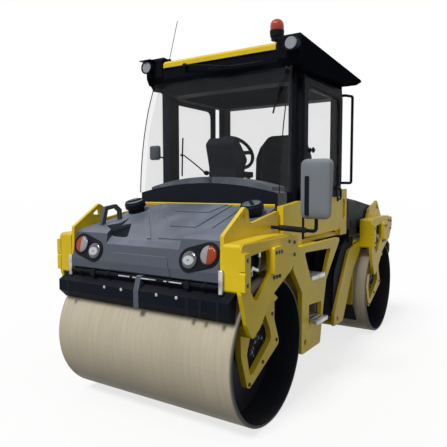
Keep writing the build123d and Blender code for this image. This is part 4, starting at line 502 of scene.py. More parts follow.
def spoke(right, up, turn):
    """Unit step at an angle in the plane of two directions."""
    return right * math.cos(turn) + up * math.sin(turn)


def shrunk(outline, inset):
    """The outline drawn in towards its middle by about the inset on every side."""
    middle = sum((Vector(point) for point in outline), Vector()) / len(outline)
    moved = []
    for point in outline:
        step = Vector(point) - middle
        moved.append(middle + Vector([axis - math.copysign(min(inset, abs(axis)), axis) for axis in step]))
    return moved


def rounded(middle, right, up, width, height, corner):
    """A rectangle with round corners, about a middle, in the plane of two directions."""
    points = []
    for turn, (across, above) in enumerate(((1, 1), (-1, 1), (-1, -1), (1, -1))):
        centre = middle + right * across * (width / 2 - corner) + up * above * (height / 2 - corner)
        for step in range(CORNER_STEPS + 1):
            angle = (turn + step / CORNER_STEPS) * math.pi / 2
            points.append(centre + spoke(right, up, angle) * corner)
    return points


# Bolt head on its washer, as shares of the bolt's radius and height
WASHER_SHARE = 1.5
WASHER_TOP = 0.25
BOLT_HEAD = [(1.0, WASHER_TOP), (1.0, 0.85), (0.8, 1.0)]


class Solid:
    """Points and faces of one trim piece, added shape by shape."""

    def __init__(self):
        self.points = []
        self.faces = []

    def rings(self, rings, loop=False):
        """Skins a row of rings with equally many points; a loop closes on itself, a row gets flat ends."""
        first = len(self.points)
        count = len(rings[0])
        rows = len(rings)
        for ring in rings:
            self.points.extend(Vector(point) for point in ring)
        for row in range(rows if loop else rows - 1):
            here = first + row * count
            there = first + (row + 1) % rows * count
            for step in range(count):
                following = (step + 1) % count
                self.faces.append((here + step, here + following, there + following, there + step))
        if not loop:
            self.faces.append(tuple(range(first, first + count))[::-1])
            self.faces.append(tuple(range(first + (rows - 1) * count, first + rows * count)))
        return self

    def lathe(self, profile, place, axis, sides=ROUND_SIDES, loop=False):
        """Turns (radius, height) points about an axis; a loop makes a hollow ring."""
        axis = Vector(axis).normalized()
        side = axis.orthogonal().normalized()
        spokes = [spoke(side, axis.cross(side), step * math.tau / sides) for step in range(sides)]
        middles = [(Vector(place) + axis * height, radius) for radius, height in profile]
        return self.rings([[middle + out * radius for out in spokes] for middle, radius in middles], loop)

    def box(self, corner, opposite):
        """A block between two opposite corners."""
        (x0, x1), (y0, y1), (z0, z1) = map(sorted, zip(corner, opposite))
        return self.rings([[(x0, y0, z), (x1, y0, z), (x1, y1, z), (x0, y1, z)] for z in (z0, z1)])

    def pair(self, low, high):
        """A block on the left and its mirror image on the right."""
        for side in SIDES:
            self.box((low[0], low[1] * side, low[2]), (high[0], high[1] * side, high[2]))
        return self

    def prism(self, outline, start, end):
        """An outline of frame points, carried between two shifts."""
        return self.rings([[Vector(point) + shift for point in outline] for shift in (start, end)])

    def tube(self, path, radius, sides=ROUND_SIDES):
        """A round bar along straight runs, mitred where they meet."""
        path = [Vector(point) for point in path]
        steps = [(after - before).normalized() for before, after in zip(path, path[1:])]
        side = steps[0].orthogonal().normalized()
        rings = []
        for point, before, after in zip(path, steps[:1] + steps, steps + steps[-1:]):
            along = (before + after).normalized()
            side = (side - along * side.dot(along)).normalized()
            turns = [step * math.tau / sides for step in range(sides)]
            rings.append([point + spoke(side, along.cross(side), turn) * radius for turn in turns])
        return self.rings(rings)

    def bolt(self, place, axis, radius, height):
        """A hexagon head on its washer."""
        self.lathe([(radius * WASHER_SHARE, z) for z in (-SUNK, height * WASHER_TOP)], place, axis)
        head = [(radius * width, height * rise) for width, rise in BOLT_HEAD]
        return self.lathe(head, place, axis, HEX_SIDES)

    def gasket(self, outline, low, high, inset):
        """A band round an outline: outer and inner loops at two depths."""
        inner = shrunk(outline, inset)
        loops = ((outline, low), (outline, high), (inner, high), (inner, low))
        return self.rings([[Vector(point) + shift for point in line] for line, shift in loops], loop=True)


def add_piece(name, data, finish, body="front_frame"):
    """Puts a mesh or curve in the scene as a piece of one body."""
    slot, material = FINISHES[finish]
    data.materials.append(material)
    made = bpy.data.objects.new(name, data)
    bpy.context.collection.objects.link(made)
    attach(made, body)
    return made


def trim(name, solid, finish, body="front_frame", bevel=0.0):
    """Turns a Solid into a piece, with softened edges where a bevel is given."""
    mesh = bpy.data.meshes.new(name)
    mesh.from_pydata(solid.points, [], solid.faces)
    work = bmesh.new()
    work.from_mesh(mesh)
    bmesh.ops.recalc_face_normals(work, faces=work.faces)
    work.to_mesh(mesh)
    work.free()
    mesh.shade_smooth()
    mesh.set_sharp_from_angle(angle=SMOOTH_ANGLE)
    made = add_piece(name, mesh, finish, body)
    if bevel:
        soften = made.modifiers.new("soft_edges", "BEVEL")
        soften.width = bevel
        soften.segments = BEVEL_SEGMENTS
        soften.limit_method = "ANGLE"
        soften.angle_limit = SMOOTH_ANGLE
    return made


def bent_tube(name, points, radius, finish, body="front_frame"):
    """A hose or bar on one smooth line near its points."""
    curve = bpy.data.curves.new(name, "CURVE")
    curve.dimensions = "3D"
    curve.bevel_depth = radius
    curve.bevel_resolution = 3
    curve.use_fill_caps = True
    spline = curve.splines.new("NURBS")
    spline.points.add(len(points) - 1)
    for knot, point in zip(spline.points, points):
        knot.co = (*point, 1)
    spline.order_u = 3
    spline.use_endpoint_u = True
    spline.resolution_u = 8
    return add_piece(name, curve, finish, body)


# Drum forks: places as x from the hub and z from the ground
BOLT_RADIUS = 0.011
BOLT_HEIGHT = 0.012
BOSS_BOLT_HEIGHT = 0.006
BOSS_BOLTS = mm((-50, 1290), (-8, 1290), (34, 1290), (447, 1285), (447, 1120))
ARM_BOLTS = mm((-75, 1105), (-30, 1105), (15, 1105), (-330, 1235), (-330, 1330), (-240, 1345))
LOOP_BOLTS = mm((-225, 568), (0, 458), (200, 352), (-150, 790))
BOLT_ROWS = (
    (BOSS_BOLTS, FORK_BOSS_Y, BOSS_BOLT_HEIGHT),
    (ARM_BOLTS, FORK_ARM_Y, BOLT_HEIGHT),
    (LOOP_BOLTS, LOOP_Y, BOLT_HEIGHT),
)
HUB_BOLT_RING = 0.085
HUB_BOLT_ANGLES = (-20, 16, 52, 88, 124, 160)
# Valve block outline, x from the hub and z: its low part, down over the drum, is a dark piece that paints
# the shade on the drum's top edge
BLOCK_AND_SHADE_OUTLINE = mm((95, 1290), (372, 1290), (372, 1035), (300, 1052), (200, 1090), (95, 1112))
MANIFOLD_YS = (PLATE_Y + 0.0005, PLATE_Y + 0.05)
# Rubber buffers: places from the hub's middle, then radius and height
BUFFERS = mm((105, 130), (0, 205), (155, 25))
BUFFER = mm((35, -1), (35, 6), (30.1, 10), (30.1, 24), (35, 28), (35, 32))
BUFFER_TOP = BUFFER[-1][1]
# Hoses hang from fittings under the arch and end on the valve block: along x, out from the block, up
HOSES = {
    "front": mm((350, 28, 1296), (350, 30, 1215), (340, 30, 1140), (300, 26, 1100), (262, 1, 1125)),
    "middle": mm((298, 28, 1299), (298, 30, 1240), (286, 30, 1180), (250, 26, 1150), (215, 1, 1175)),
    "back": mm((130, 26, 1314), (130, 28, 1260), (134, 28, 1205), (160, 24, 1175), (190, 1, 1190)),
}
HOSE_RADIUS = 0.0125
FITTING = mm((18, -6), (18, 12), (15, 14), (15, 46), (13.5, 50))


def fork_trim(end, hub_x, body):
    """Bolts, rubber buffers, valve blocks and hoses on the two forks of one drum; the blocks reach down as
    painted shade over the drum's top.
    """
    bolts, buffers, fittings, blocks = Solid(), Solid(), Solid(), Solid()
    for side, word in SIDES.items():
        out = LEFT * side
        # the block's low part, down over the drum, is painted shade
        blocks.prism([(hub_x + x, 0, z) for x, z in BLOCK_AND_SHADE_OUTLINE], *(out * y for y in MANIFOLD_YS))
        for places, level, height in BOLT_ROWS:
            for x, z in places:
                bolts.bolt((hub_x + x, level * side, z), out, BOLT_RADIUS, height)
        hub = Vector((hub_x, CARRIER_Y * side, HUB_Z))
        for turn in map(math.radians, HUB_BOLT_ANGLES):
            bolts.bolt(hub + spoke(FORWARD, UP, turn) * HUB_BOLT_RING, out, BOLT_RADIUS, BOLT_HEIGHT)
        for x, z in BUFFERS:
            foot = hub + Vector((x, 0, z))
            buffers.lathe(BUFFER, foot, out)
            bolts.bolt(foot + out * BUFFER_TOP, out, BOLT_RADIUS, BOLT_HEIGHT)
        for place, route in HOSES.items():
            points = [Vector((hub_x + x, (MANIFOLD_YS[1] + y) * side, z)) for x, y, z in route]
            bent_tube(f"{end}_{place}_hose_{word}", points, HOSE_RADIUS, "hose_rubber", body)
            fittings.lathe(FITTING, points[0], -UP)
            fittings.lathe(FITTING, points[-1], points[-2] - points[-1])
    trim(f"{end}_fork_bolts", bolts, "dark_metal", body)
    trim(f"{end}_fork_buffers", buffers, "rubber", body)
    trim(f"{end}_hose_fittings", fittings, "bare_steel", body)
    trim(f"{end}_valve_blocks_and_shade", blocks, "black_trim", body, bevel=0.004)


# Scraper and sprinkler bar at the front; the rear's are the same, turned to the rear
SCRAPER_FACE_X = 1.995
SCRAPER_BOLT_YS = [-0.3, -0.125, 0.217, 0.395]
SCRAPER_BOLT_Z = 1.0
SCRAPER_BOLT_SIZE = (0.008, 0.0045)
STRAP_YS = [-0.705, 0.49, 0.595, 0.74]
STRAP_HALF_WIDTH = 0.013
STRAP_ZS = mm((887, 1008), (1010, 1016))
STRAP_THICKNESS = 0.0035
SPRAY_BAR = Vector((1.942, 0, 1.092))
SPRAY_YS = [-0.6, -0.3, 0.3, 0.6]
CLAMP = mm((18.5, -16), (25, -16), (25, 16), (18.5, 16))
SPRAY_TIP = mm((11, 18), (11, 30), (8, 32), (8, 42), (5, 45))
BAR_BRACKET_YS = [-0.46, 0.46]
BAR_BRACKET = (Vector((-0.023, -0.022, -0.026)), Vector((0.024, 0.022, 0.024)))
MIDDLE_BRACKET = mm(
    (1919, 1116), (1968, 1110), (1990, 1030), (1999, 1010), (1999, 880), (1994, 880), (1994, 1008),
    (1940, 1050),
)
MIDDLE_BRACKET_WIDTH = 0.048
GUARD_RODS = mm((-176, -64), (-34, 190), (261, 421))
GUARD_ROD_PLACE = SPRAY_BAR + Vector((0.0215, 0, 0.004))
GUARD_ROD_RADIUS = 0.006


def spray_trim(end, sign, body):
    """Straps and bolts on the scraper, and clamps, nozzles and guard rods along the sprinkler bar."""
    bolts, fixings = Solid(), Solid()
    out = FORWARD * sign
    turned = Vector((sign, 1, 1))
    for y in SCRAPER_BOLT_YS:
        bolts.bolt((SCRAPER_FACE_X * sign, y, SCRAPER_BOLT_Z), out, *SCRAPER_BOLT_SIZE)
    for right, left in GUARD_RODS:
        rod = [(GUARD_ROD_RADIUS, 0.0), (GUARD_ROD_RADIUS, left - right)]
        bolts.lathe(rod, GUARD_ROD_PLACE * turned + LEFT * right, LEFT, COARSE_SIDES)
    inner, outer = (SCRAPER_FACE_X - SUNK) * sign, (SCRAPER_FACE_X + STRAP_THICKNESS) * sign
    for y in STRAP_YS:
        for z0, z1 in STRAP_ZS:
            fixings.box((inner, y - STRAP_HALF_WIDTH, z0), (outer, y + STRAP_HALF_WIDTH, z1))
    for y in SPRAY_YS:
        place = SPRAY_BAR * turned + LEFT * y
        fixings.lathe(CLAMP, place, LEFT, HEX_SIDES, loop=True)
        fixings.lathe(SPRAY_TIP, place, out, HEX_SIDES)
    for y in BAR_BRACKET_YS:
        fixings.box(*((SPRAY_BAR + LEFT * y + corner) * turned for corner in BAR_BRACKET))
    outline = [(x * sign, 0, z) for x, z in MIDDLE_BRACKET]
    bracket = Solid().prism(outline, Vector(), LEFT * MIDDLE_BRACKET_WIDTH)
    trim(f"{end}_scraper_bolts", bolts, "bare_steel", body)
    trim(f"{end}_spray_fixings", fixings, "black_trim", body)
    trim(f"{end}_scraper_bracket", bracket, "dark_plastic", body, bevel=0.0015)


# Steps under the doors: x from, x to, inner y, outer y, top
STEP_TOPS = mm((383, 655, 600, 846, 980.3), (470, 695, 600, 911, 610.3))
TREAD_SHEET = 0.003
TREAD_SUNK = 0.0005
TREAD_BARS = 6
TREAD_BAR_RISE = 0.006
TREAD_BAR_INSET = 0.012
TREAD_BAR_SHARE = 0.22
NOSING_DROP = 0.024


def step_trim():
    """Tread sheets with raised bars and a folded nosing."""
    treads = Solid()
    for side in SIDES:
        for x0, x1, y0, y1, top in STEP_TOPS:
            sheet_top = top + TREAD_SHEET
            treads.box((x0, y0 * side, top - TREAD_SUNK), (x1, y1 * side, sheet_top))
            pitch = (y1 - y0) / TREAD_BARS
            half = pitch * TREAD_BAR_SHARE
            back, front = x0 + TREAD_BAR_INSET, x1 - TREAD_BAR_INSET
            for row in range(TREAD_BARS):
                middle = (y0 + (row + 0.5) * pitch) * side
                treads.box((back, middle - half, top), (front, middle + half, top + TREAD_BAR_RISE))
            treads.box((x0, y1 * side, top - NOSING_DROP), (x1, (y1 + TREAD_SHEET) * side, sheet_top))
    trim("step_treads", treads, "bare_steel", bevel=0.0015)


# Hood edge, as way down the slope and rise from it
EDGE_STRIP = mm((1, -1), (13, -1), (13, 20), (1, 24))
EDGE_STRIP_HALF_WIDTH = 0.704
# Lamps: y, rise up the nose and radius; rims as way out from the glass's edge and height; domes as shares
LAMPS = {
    "front_headlamps": (HEADLAMP_Y, HEADLAMP_RISE, HEADLAMP_RADIUS),
    "front_indicators": (INDICATOR_Y, INDICATOR_RISE, INDICATOR_RADIUS),
}
BEZEL = mm((0, -4), (0, 13), (4, 15), (13, 6), (13, -4))
LENS_FACE = 0.0075
DOME_RISE = 0.014
DOME_SHARES = [(0.98, 0.0), (0.95, 0.25), (0.8, 0.62), (0.5, 0.9), (0.15, 1.0)]
POD_RIM = 0.022
POD_DEPTHS = (-0.002, 0.0075)
# Intake beside the handle: way down the slope and share of the hood's half width; a black plate in it paints
# the shade of the deep opening
SCOOP = [(0.625, -0.74), (0.478, -0.59), (0.757, -0.3), (0.752, -0.492)]
SCOOP_DEPTHS = (-0.036, -0.022)
# Tank caps: place on the slope, then faces and grips
CAP_DOWN = 0.195
CAP_Y = 0.6047
CAP_TOP = 0.094
CAP_FACE = mm((72, -1), (72, 4), (66, 6), (20, 3))
GRIP_RING = mm((74, -1), (86, -1), (84, 7), (76, 7))
GRIP_SIZE = (0.132, 0.026)
GRIP_RISE = 0.015
GRIP_SKEW = 0.8
LUG = (1.928, 0.712, 1.045), (1.958, 0.747, 1.215)


def on_slope(down, y=0.0, out=0.0):
    """A point on the hood's slope, or off it."""
    return SLOPE_TOP + SLOPE_ALONG * down + SLOPE_OUT * out + LEFT * y


def on_nose(y, rise):
    """A point on the hood's nose."""
    return NOSE_LOW + NOSE_UP * rise + LEFT * y


def bezel(solid, place, axis, radius):
    """A round rim that holds a lamp glass."""
    profile = [(radius + out, height) for out, height in BEZEL]
    return solid.lathe(profile, place, axis, FINE_SIDES, loop=True)


def pod_outline(first, second, radii):
    """Outline round two discs on the nose and the lines that touch both."""
    step = second - first
    toward = step.normalized()
    other = NOSE_OUT.cross(toward)
    lean = math.acos((radii[0] - radii[1]) / step.length)
    points = []
    for centre, radius, start, end in (
        (first, radii[0], lean, math.tau - lean),
        (second, radii[1], -lean, lean),
    ):
        for count in range(ROUND_SIDES + 1):
            turn = start + (end - start) * count / ROUND_SIDES
            points.append(centre + spoke(toward, other, turn) * radius)
    return points


def nose_trim():
    """Edge strip, lamp pods, lenses and rims, a black plate that paints the shade in the intake, cap grips
    and the plates' front pads.
    """
    corners = [on_slope(down, out=rise) for down, rise in EDGE_STRIP]
    strip = Solid().prism(corners, -LEFT * EDGE_STRIP_HALF_WIDTH, LEFT * EDGE_STRIP_HALF_WIDTH)
    trim("hood_edge_strip", strip, "paint_yellow", bevel=0.002)

    rims, pods, grips, faces = Solid(), Solid(), Solid(), Solid()
    for node, (y, rise, radius) in LAMPS.items():
        domes = Solid()
        for side in SIDES:
            place = on_nose(y * side, rise)
            bezel(rims, place, NOSE_OUT, radius)
            profile = [(radius * share, DOME_RISE * height) for share, height in DOME_SHARES]
            domes.lathe(profile, place + NOSE_OUT * LENS_FACE, NOSE_OUT, FINE_SIDES)
        trim(f"{node}_domes", domes, node)
    for side in SIDES:
        middles = [on_nose(y * side, rise) for y, rise, _ in LAMPS.values()]
        outline = pod_outline(*middles, [radius + POD_RIM for *_, radius in LAMPS.values()])
        pods.prism(outline, *(NOSE_OUT * depth for depth in POD_DEPTHS))
    trim("lamp_rims", rims, "black_shell")
    trim("lamp_pods", pods, "black_shell", bevel=0.003)

    # black plate sunk in the intake: painted shade of the deep opening
    mouth = [on_slope(down, share * HOOD_HALF_WIDTH) for down, share in SCOOP]
    intake = Solid().prism(mouth, *(SLOPE_OUT * depth for depth in SCOOP_DEPTHS))
    trim("hood_intake_painted_shade", intake, "dark_paint")

    for side in SIDES:
        top = on_slope(CAP_DOWN, CAP_Y * side, CAP_TOP)
        faces.lathe(CAP_FACE, top, SLOPE_OUT, FINE_SIDES)
        grips.lathe(GRIP_RING, top, SLOPE_OUT, FINE_SIDES, loop=True)
        across = (SLOPE_ALONG + LEFT * side * GRIP_SKEW).normalized()
        along = SLOPE_OUT.cross(across)
        half_across, half_along = across * GRIP_SIZE[0] / 2, along * GRIP_SIZE[1] / 2
        bar = [top + half_across * a + half_along * b for a, b in ((1, 1), (-1, 1), (-1, -1), (1, -1))]
        grips.prism(bar, -SLOPE_OUT * SUNK, SLOPE_OUT * GRIP_RISE)
    trim("tank_cap_faces", faces, "dark_plastic")
    trim("tank_cap_grips", grips, "black_shell", bevel=0.003)
    trim("front_plate_pads", Solid().pair(*LUG), "bare_steel", bevel=0.009)


def arc_centre(a, b, c):
    """Middle of the circle in x and z through three points."""
    first = (b.x ** 2 - a.x ** 2 + b.z ** 2 - a.z ** 2) / 2
    second = (c.x ** 2 - b.x ** 2 + c.z ** 2 - b.z ** 2) / 2
    spread = (b.x - a.x) * (c.z - b.z) - (c.x - b.x) * (b.z - a.z)
    x = (first * (c.z - b.z) - second * (b.z - a.z)) / spread
    z = (second * (b.x - a.x) - first * (c.x - b.x)) / spread
    return Vector((x, 0, z))


GLASS_CENTRE = arc_centre(GLASS_FOOT, GLASS_BELLY, GLASS_HEAD)
GLASS_RADIUS = (GLASS_FOOT - GLASS_CENTRE).length


def on_glass(y, z, out=0.0):
    """A point on the windscreen's outer face, or off it."""
    x = GLASS_CENTRE.x + math.sqrt(GLASS_RADIUS ** 2 - (z - GLASS_CENTRE.z) ** 2)
    normal = (Vector((x, 0, z)) - GLASS_CENTRE).normalized()
    return Vector((x, y, z)) + normal * out


def on_roof(y, z, out=0.0):
    """A point on the roof's front face, or off it."""
    return Vector((ROOF_FRONT_X + out, y, z))


# Wipers: points along the blade and along the arm from its pivot, as y and z
GLASS_WIPERS = {
    "lower": (
        mm((-254, 2198), (-242, 2030), (-230, 1858)),
        mm((30, 1881), (-90, 1962), (-210, 2037), (-242, 2042)),
    ),
    "side": (
        mm((655, 2640), (648, 2500), (634, 2350)),
        mm((690, 2715), (672, 2620), (650, 2500)),
    ),
}
PARKED_BLADE = mm((-65, 2818), (223, 2803), (477, 2806))
PARKED_ARM = mm((-330, 2880), (-120, 2850), (140, 2808))
BLADE_RADIUS = 0.007
BLADE_STAND = 0.012
ARM_RADIUS = 0.006
ARM_STAND = 0.026
PIVOT = mm((20, -4), (20, 14), (15, 18), (15, 32), (10, 36))
GLASS_TIP = mm((10, 12), (10, 30))
PARKED_TIP = mm((10, 6), (10, 30))
SEAL_RADIUS = 0.0045
SEAL_INSET = 0.002
SEAL_CONTROL = (GLASS_BELLY - (GLASS_FOOT + GLASS_HEAD) / 4) * 2


def wiper(name, blade, arm, place, tip, pivot_axis, tip_axis):
    """One wiper on the face that place gives points of: its blade, and its arm with pivot and tip."""
    bent_tube(f"wiper_blade_{name}", [place(*point, BLADE_STAND) for point in blade], BLADE_RADIUS, "rubber")
    linkage = Solid().tube([place(*point, ARM_STAND) for point in arm], ARM_RADIUS, COARSE_SIDES)
    linkage.lathe(PIVOT, place(*arm[0]), pivot_axis)
    linkage.lathe(tip, place(*arm[-1]), tip_axis)
    trim(f"wiper_arm_{name}", linkage, "black_trim")


def windscreen_trim():
    """Two wipers on the glass, one parked on the roof's front, and rubber along the glass's long edges."""
    for name, (blade, arm) in GLASS_WIPERS.items():
        foot, tip = on_glass(*arm[0]), on_glass(*arm[-1])
        tip_axis = tip - GLASS_CENTRE - LEFT * tip.y
        wiper(name, blade, arm, on_glass, GLASS_TIP, foot - GLASS_CENTRE, tip_axis)
    wiper("upper", PARKED_BLADE, PARKED_ARM, on_roof, PARKED_TIP, FORWARD, FORWARD)
    for side, word in SIDES.items():
        edge = LEFT * side * (GLASS_EDGE_Y - SEAL_INSET)
        line = [point + edge for point in (GLASS_FOOT, SEAL_CONTROL, GLASS_HEAD)]
        bent_tube(f"windscreen_seal_{word}", line, SEAL_RADIUS, "rubber")


# Doors: handle's plate as width, height and corner, its grip as way out and up; window catch and rubber
HANDLE_PLACE = Vector((-0.125, 0, 1.69))
HANDLE_PLATE = (0.045, 0.15, 0.015)
HANDLE_PLATE_RISE = 0.006
HANDLE_GRIP = mm((0, 50), (30, 50), (34, 30), (34, -30), (30, -50), (0, -50))
HANDLE_GRIP_RADIUS = 0.009
CATCH_X = 0.56
CATCH_Z = 2.08
CATCH = mm((22, 0), (22, 6), (9, 8), (9, 22), (24, 26), (24, 36), (16, 40))
CATCH_BAR = (Vector((-0.034, 0.027, -0.007)), Vector((0.034, 0.037, 0.007)))
GASKET_WIDTH = 0.014
GASKET_RISE = 0.006
GASKET_CORNER = 0.07


def door_trim(word, side):
    """Handle, window catch and window rubber of one door, which swing with it."""
    body = f"door_{word}"
    out = LEFT * side
    grip_middle = HANDLE_PLACE + out * DOOR_Y
    handle = Solid()
    plate = rounded(grip_middle, FORWARD, UP, *HANDLE_PLATE)
    handle.prism(plate, -out * SUNK, out * HANDLE_PLATE_RISE)
    grip = [grip_middle + out * away + UP * rise for away, rise in HANDLE_GRIP]
    handle.tube(grip, HANDLE_GRIP_RADIUS, COARSE_SIDES)
    trim(f"{body}_handle", handle, "black_trim", body)

    low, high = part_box(f"door_{word}_glass")
    middle = (low + high) / 2
    pane_face = max(abs(low.y), abs(high.y))
    place = Vector((CATCH_X, pane_face * side, CATCH_Z))
    catch = Solid().lathe(CATCH, place, out)
    catch.box(*(place + corner * Vector((1, side, 1)) for corner in CATCH_BAR))
    trim(f"{body}_window_catch", catch, "black_trim", body)

    size = (high.x - low.x, high.z - low.z)
    line = rounded(Vector((middle.x, 0, middle.z)), FORWARD, UP, *size, GASKET_CORNER)
    band = Solid().gasket(line, out * (pane_face - SUNK), out * (pane_face + GASKET_RISE), GASKET_WIDTH)
    trim(f"{body}_window_rubber", band, "rubber", body)


# Left mirror: its glass, its bulged front as inset, rise and corner, its spine and the arm's sleeve
MIRROR_RIM = 0.02
MIRROR_CORNER = 0.036
MIRROR_GLASS_DEPTHS = (0.0015, 0.007)
MIRROR_BULGE = mm((3, -2, 43.8), (5, 4, 43), (14, 10, 39.4), (34, 15, 31.4), (64, 18, 19.4), (95, 19, 8))
SPINE_Y = 0.99
SPINE_WIDTH = 0.036
SPINE_HEIGHT_SHARE = 0.72
SPINE_DROP = 0.05
SPINE_CORNER = 0.012
SPINE_DEPTHS = (-0.004, 0.023)
ARM_SLEEVE = mm((1238, 795, 1449), (1140, 985, 1428.5))
ARM_SLEEVE_RADIUS = 0.022
# Small mirror on the right front post; its glass as width, height and corner
SMALL_MIRROR_LOW = Vector((0.82, -0.822, 2.028))
SMALL_MIRROR_HIGH = Vector((0.868, -0.7, 2.17))
SMALL_GLASS = (0.072, 0.092, 0.012)
SMALL_GLASS_DEPTHS = (-0.002, 0.002)
SMALL_MIRROR_ARM = mm((745, -700, 2045), (745, -735, 2050), (800, -772, 2075), (828, -775, 2090))
SMALL_MIRROR_ARM_RADIUS = 0.008


def facing_plate(middle, size, depths):
    """A plate with round corners that faces along x, between two depths."""
    return Solid().prism(rounded(middle, LEFT, UP, *size), *(FORWARD * depth for depth in depths))


def mirror_trim():
    """Glass, front, sleeve and spine of the left mirror, and the small mirror on the right front post."""
    low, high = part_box("mirror_housing")
    back = (low + high) / 2
    back.x = low.x
    front = Vector((high.x, back.y, back.z))
    width = high.y - low.y
    height = high.z - low.z
    face_height = height - 2 * MIRROR_RIM
    face = (width - 2 * MIRROR_RIM, face_height, MIRROR_CORNER)
    trim("mirror_glass", facing_plate(back, face, MIRROR_GLASS_DEPTHS), "mirror_glass", bevel=0.001)
    bulge = Solid().rings([
        rounded(front + FORWARD * rise, LEFT, UP, width - 2 * inset, height - 2 * inset, corner)
        for inset, rise, corner in MIRROR_BULGE
    ])
    trim("mirror_front", bulge, "grey_plastic")
    trim("mirror_arm_sleeve", Solid().tube(ARM_SLEEVE, ARM_SLEEVE_RADIUS), "rubber", bevel=0.004)
    strip = (SPINE_WIDTH, face_height * SPINE_HEIGHT_SHARE, SPINE_CORNER)
    spine = facing_plate(Vector((high.x, SPINE_Y, front.z - SPINE_DROP)), strip, SPINE_DEPTHS)
    trim("mirror_spine", spine, "black_shell", bevel=0.001)

    shell = Solid().box(SMALL_MIRROR_LOW, SMALL_MIRROR_HIGH)
    trim("small_mirror_shell", shell, "dark_plastic", bevel=0.021)
    centre = (SMALL_MIRROR_LOW + SMALL_MIRROR_HIGH) / 2
    centre.x = SMALL_MIRROR_LOW.x
    small = facing_plate(centre, SMALL_GLASS, SMALL_GLASS_DEPTHS)
    trim("small_mirror_glass", small, "small_mirror_glass")
    bent_tube("small_mirror_arm", SMALL_MIRROR_ARM, SMALL_MIRROR_ARM_RADIUS, "black_trim")


# Roof lamps
WORK_LAMP_Y = 0.757
WORK_LAMP_Z = 2.905
WORK_LAMP_SHELL = mm((55.2, -0.5), (60, -0.5), (60.5, 50), (62, 64), (57.5, 66), (55.2, 60))
VISOR = (0.88, -0.83, 2.9655), (0.99, -0.69, 2.9715)
# Beacon: radius and height from the foot of its dome
BEACON_BAND = mm((47, -30), (56, -28), (61, 4), (61, 22), (47, 26))
BEACON_LENS = mm((46, 1), (58, 20), (58.5, 60), (55, 85), (44, 104), (26, 115), (6, 118))


def roof_trim():
    """Shells round the work lamps, the plate over the right one, and the beacon's band and lens."""
    shells = Solid()
    for side in SIDES:
        place = on_roof(WORK_LAMP_Y * side, WORK_LAMP_Z)
        shells.lathe(WORK_LAMP_SHELL, place, FORWARD, FINE_SIDES, loop=True)
    trim("work_lamp_shells", shells, "black_trim")
    trim("work_lamp_visor", Solid().box(*VISOR), "black_trim", bevel=0.002)

    low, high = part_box("beacon_dome")
    foot = Vector(((low.x + high.x) / 2, (low.y + high.y) / 2, low.z))
    trim("beacon_band", Solid().lathe(BEACON_BAND, foot, UP, FINE_SIDES, loop=True), "black_trim")
    dome = Solid().lathe(BEACON_LENS, foot, UP, FINE_SIDES)
    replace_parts(trim("beacon_lens", dome, "amber_lens"), "beacon_dome")


# Armrests, with heights from the cab floor; then front x, inner y and outer y of each
ARMREST_BACK_X = -0.11
ARMREST_RISE = 0.56
ARMREST_THICKNESS = 0.065
ARMREST_POST_XS = (-0.1, -0.04)
ARMREST_POST_RISE = 0.3
ARMREST_POST_OVERLAP = 0.01
ARMREST_POST_HALF_WIDTH = 0.015
LEFT_ARMREST = (0.2, 0.335, 0.41)
RIGHT_ARMREST = (0.26, -0.265, -0.175)
# Travel lever near the front of the right armrest
LEVER_BACK = 0.05
LEVER_SUNK = 0.002
LEVER = mm((30, 0), (26, 12), (12, 20), (10, 75), (21, 85), (24, 115), (17, 140))
# Seat shell behind the back pad: half width and height, then its lean
SEAT_Y = sum(corner.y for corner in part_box("seat_back")) / 2
SHELL_EDGE = mm((230, 1620), (330, 1800), (335, 2080), (290, 2200), (200, 2305), (150, 2325))
SHELL_FOOT = Vector((-0.262, 0, 1.63))
SHELL_LEAN = Vector((-0.08, 0, 1))
SHELL_THICKNESS = 0.026
# Rubber of the rear window, from the glass's edges and its outer face
REAR_RUBBER_INSET = 0.002
REAR_RUBBER_CORNER = 0.09
REAR_RUBBER_DEPTHS = (-0.005, 0.002)
REAR_RUBBER_WIDTH = 0.022


def cab_trim():
    """Armrests, travel lever, seat shell and the rear window's rubber."""
    rests = Solid()
    low_z = FLOOR_Z + ARMREST_RISE
    top_z = low_z + ARMREST_THICKNESS
    post_zs = (FLOOR_Z + ARMREST_POST_RISE, low_z + ARMREST_POST_OVERLAP)
    for front, inner, outer in (LEFT_ARMREST, RIGHT_ARMREST):
        rests.box((ARMREST_BACK_X, inner, low_z), (front, outer, top_z))
        middle = (inner + outer) / 2
        post_ys = (middle - ARMREST_POST_HALF_WIDTH, middle + ARMREST_POST_HALF_WIDTH)
        rests.box(*zip(ARMREST_POST_XS, post_ys, post_zs))
    trim("armrests", rests, "black_shell", bevel=0.014)
    front, inner, outer = RIGHT_ARMREST
    lever = Solid().lathe(LEVER, (front - LEVER_BACK, (inner + outer) / 2, top_z - LEVER_SUNK), UP)
    trim("travel_lever", lever, "black_shell")

    right_edge = [(SEAT_Y - half, z) for half, z in SHELL_EDGE]
    left_edge = [(SEAT_Y + half, z) for half, z in reversed(SHELL_EDGE)]
    outline = [SHELL_FOOT + SHELL_LEAN * (z - SHELL_FOOT.z) + LEFT * y for y, z in right_edge + left_edge]
    shell = Solid().prism(outline, -FORWARD * SHELL_THICKNESS, Vector())
    trim("seat_shell", shell, "black_shell", bevel=0.012)

    low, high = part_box("rear_window")
    size = [high[axis] - low[axis] - 2 * REAR_RUBBER_INSET for axis in (1, 2)]
    line = rounded(UP * (low.z + high.z) / 2, LEFT, UP, *size, REAR_RUBBER_CORNER)
    depths = [FORWARD * (low.x + depth) for depth in REAR_RUBBER_DEPTHS]
    trim("rear_window_rubber", Solid().gasket(line, *depths, REAR_RUBBER_WIDTH), "rubber")


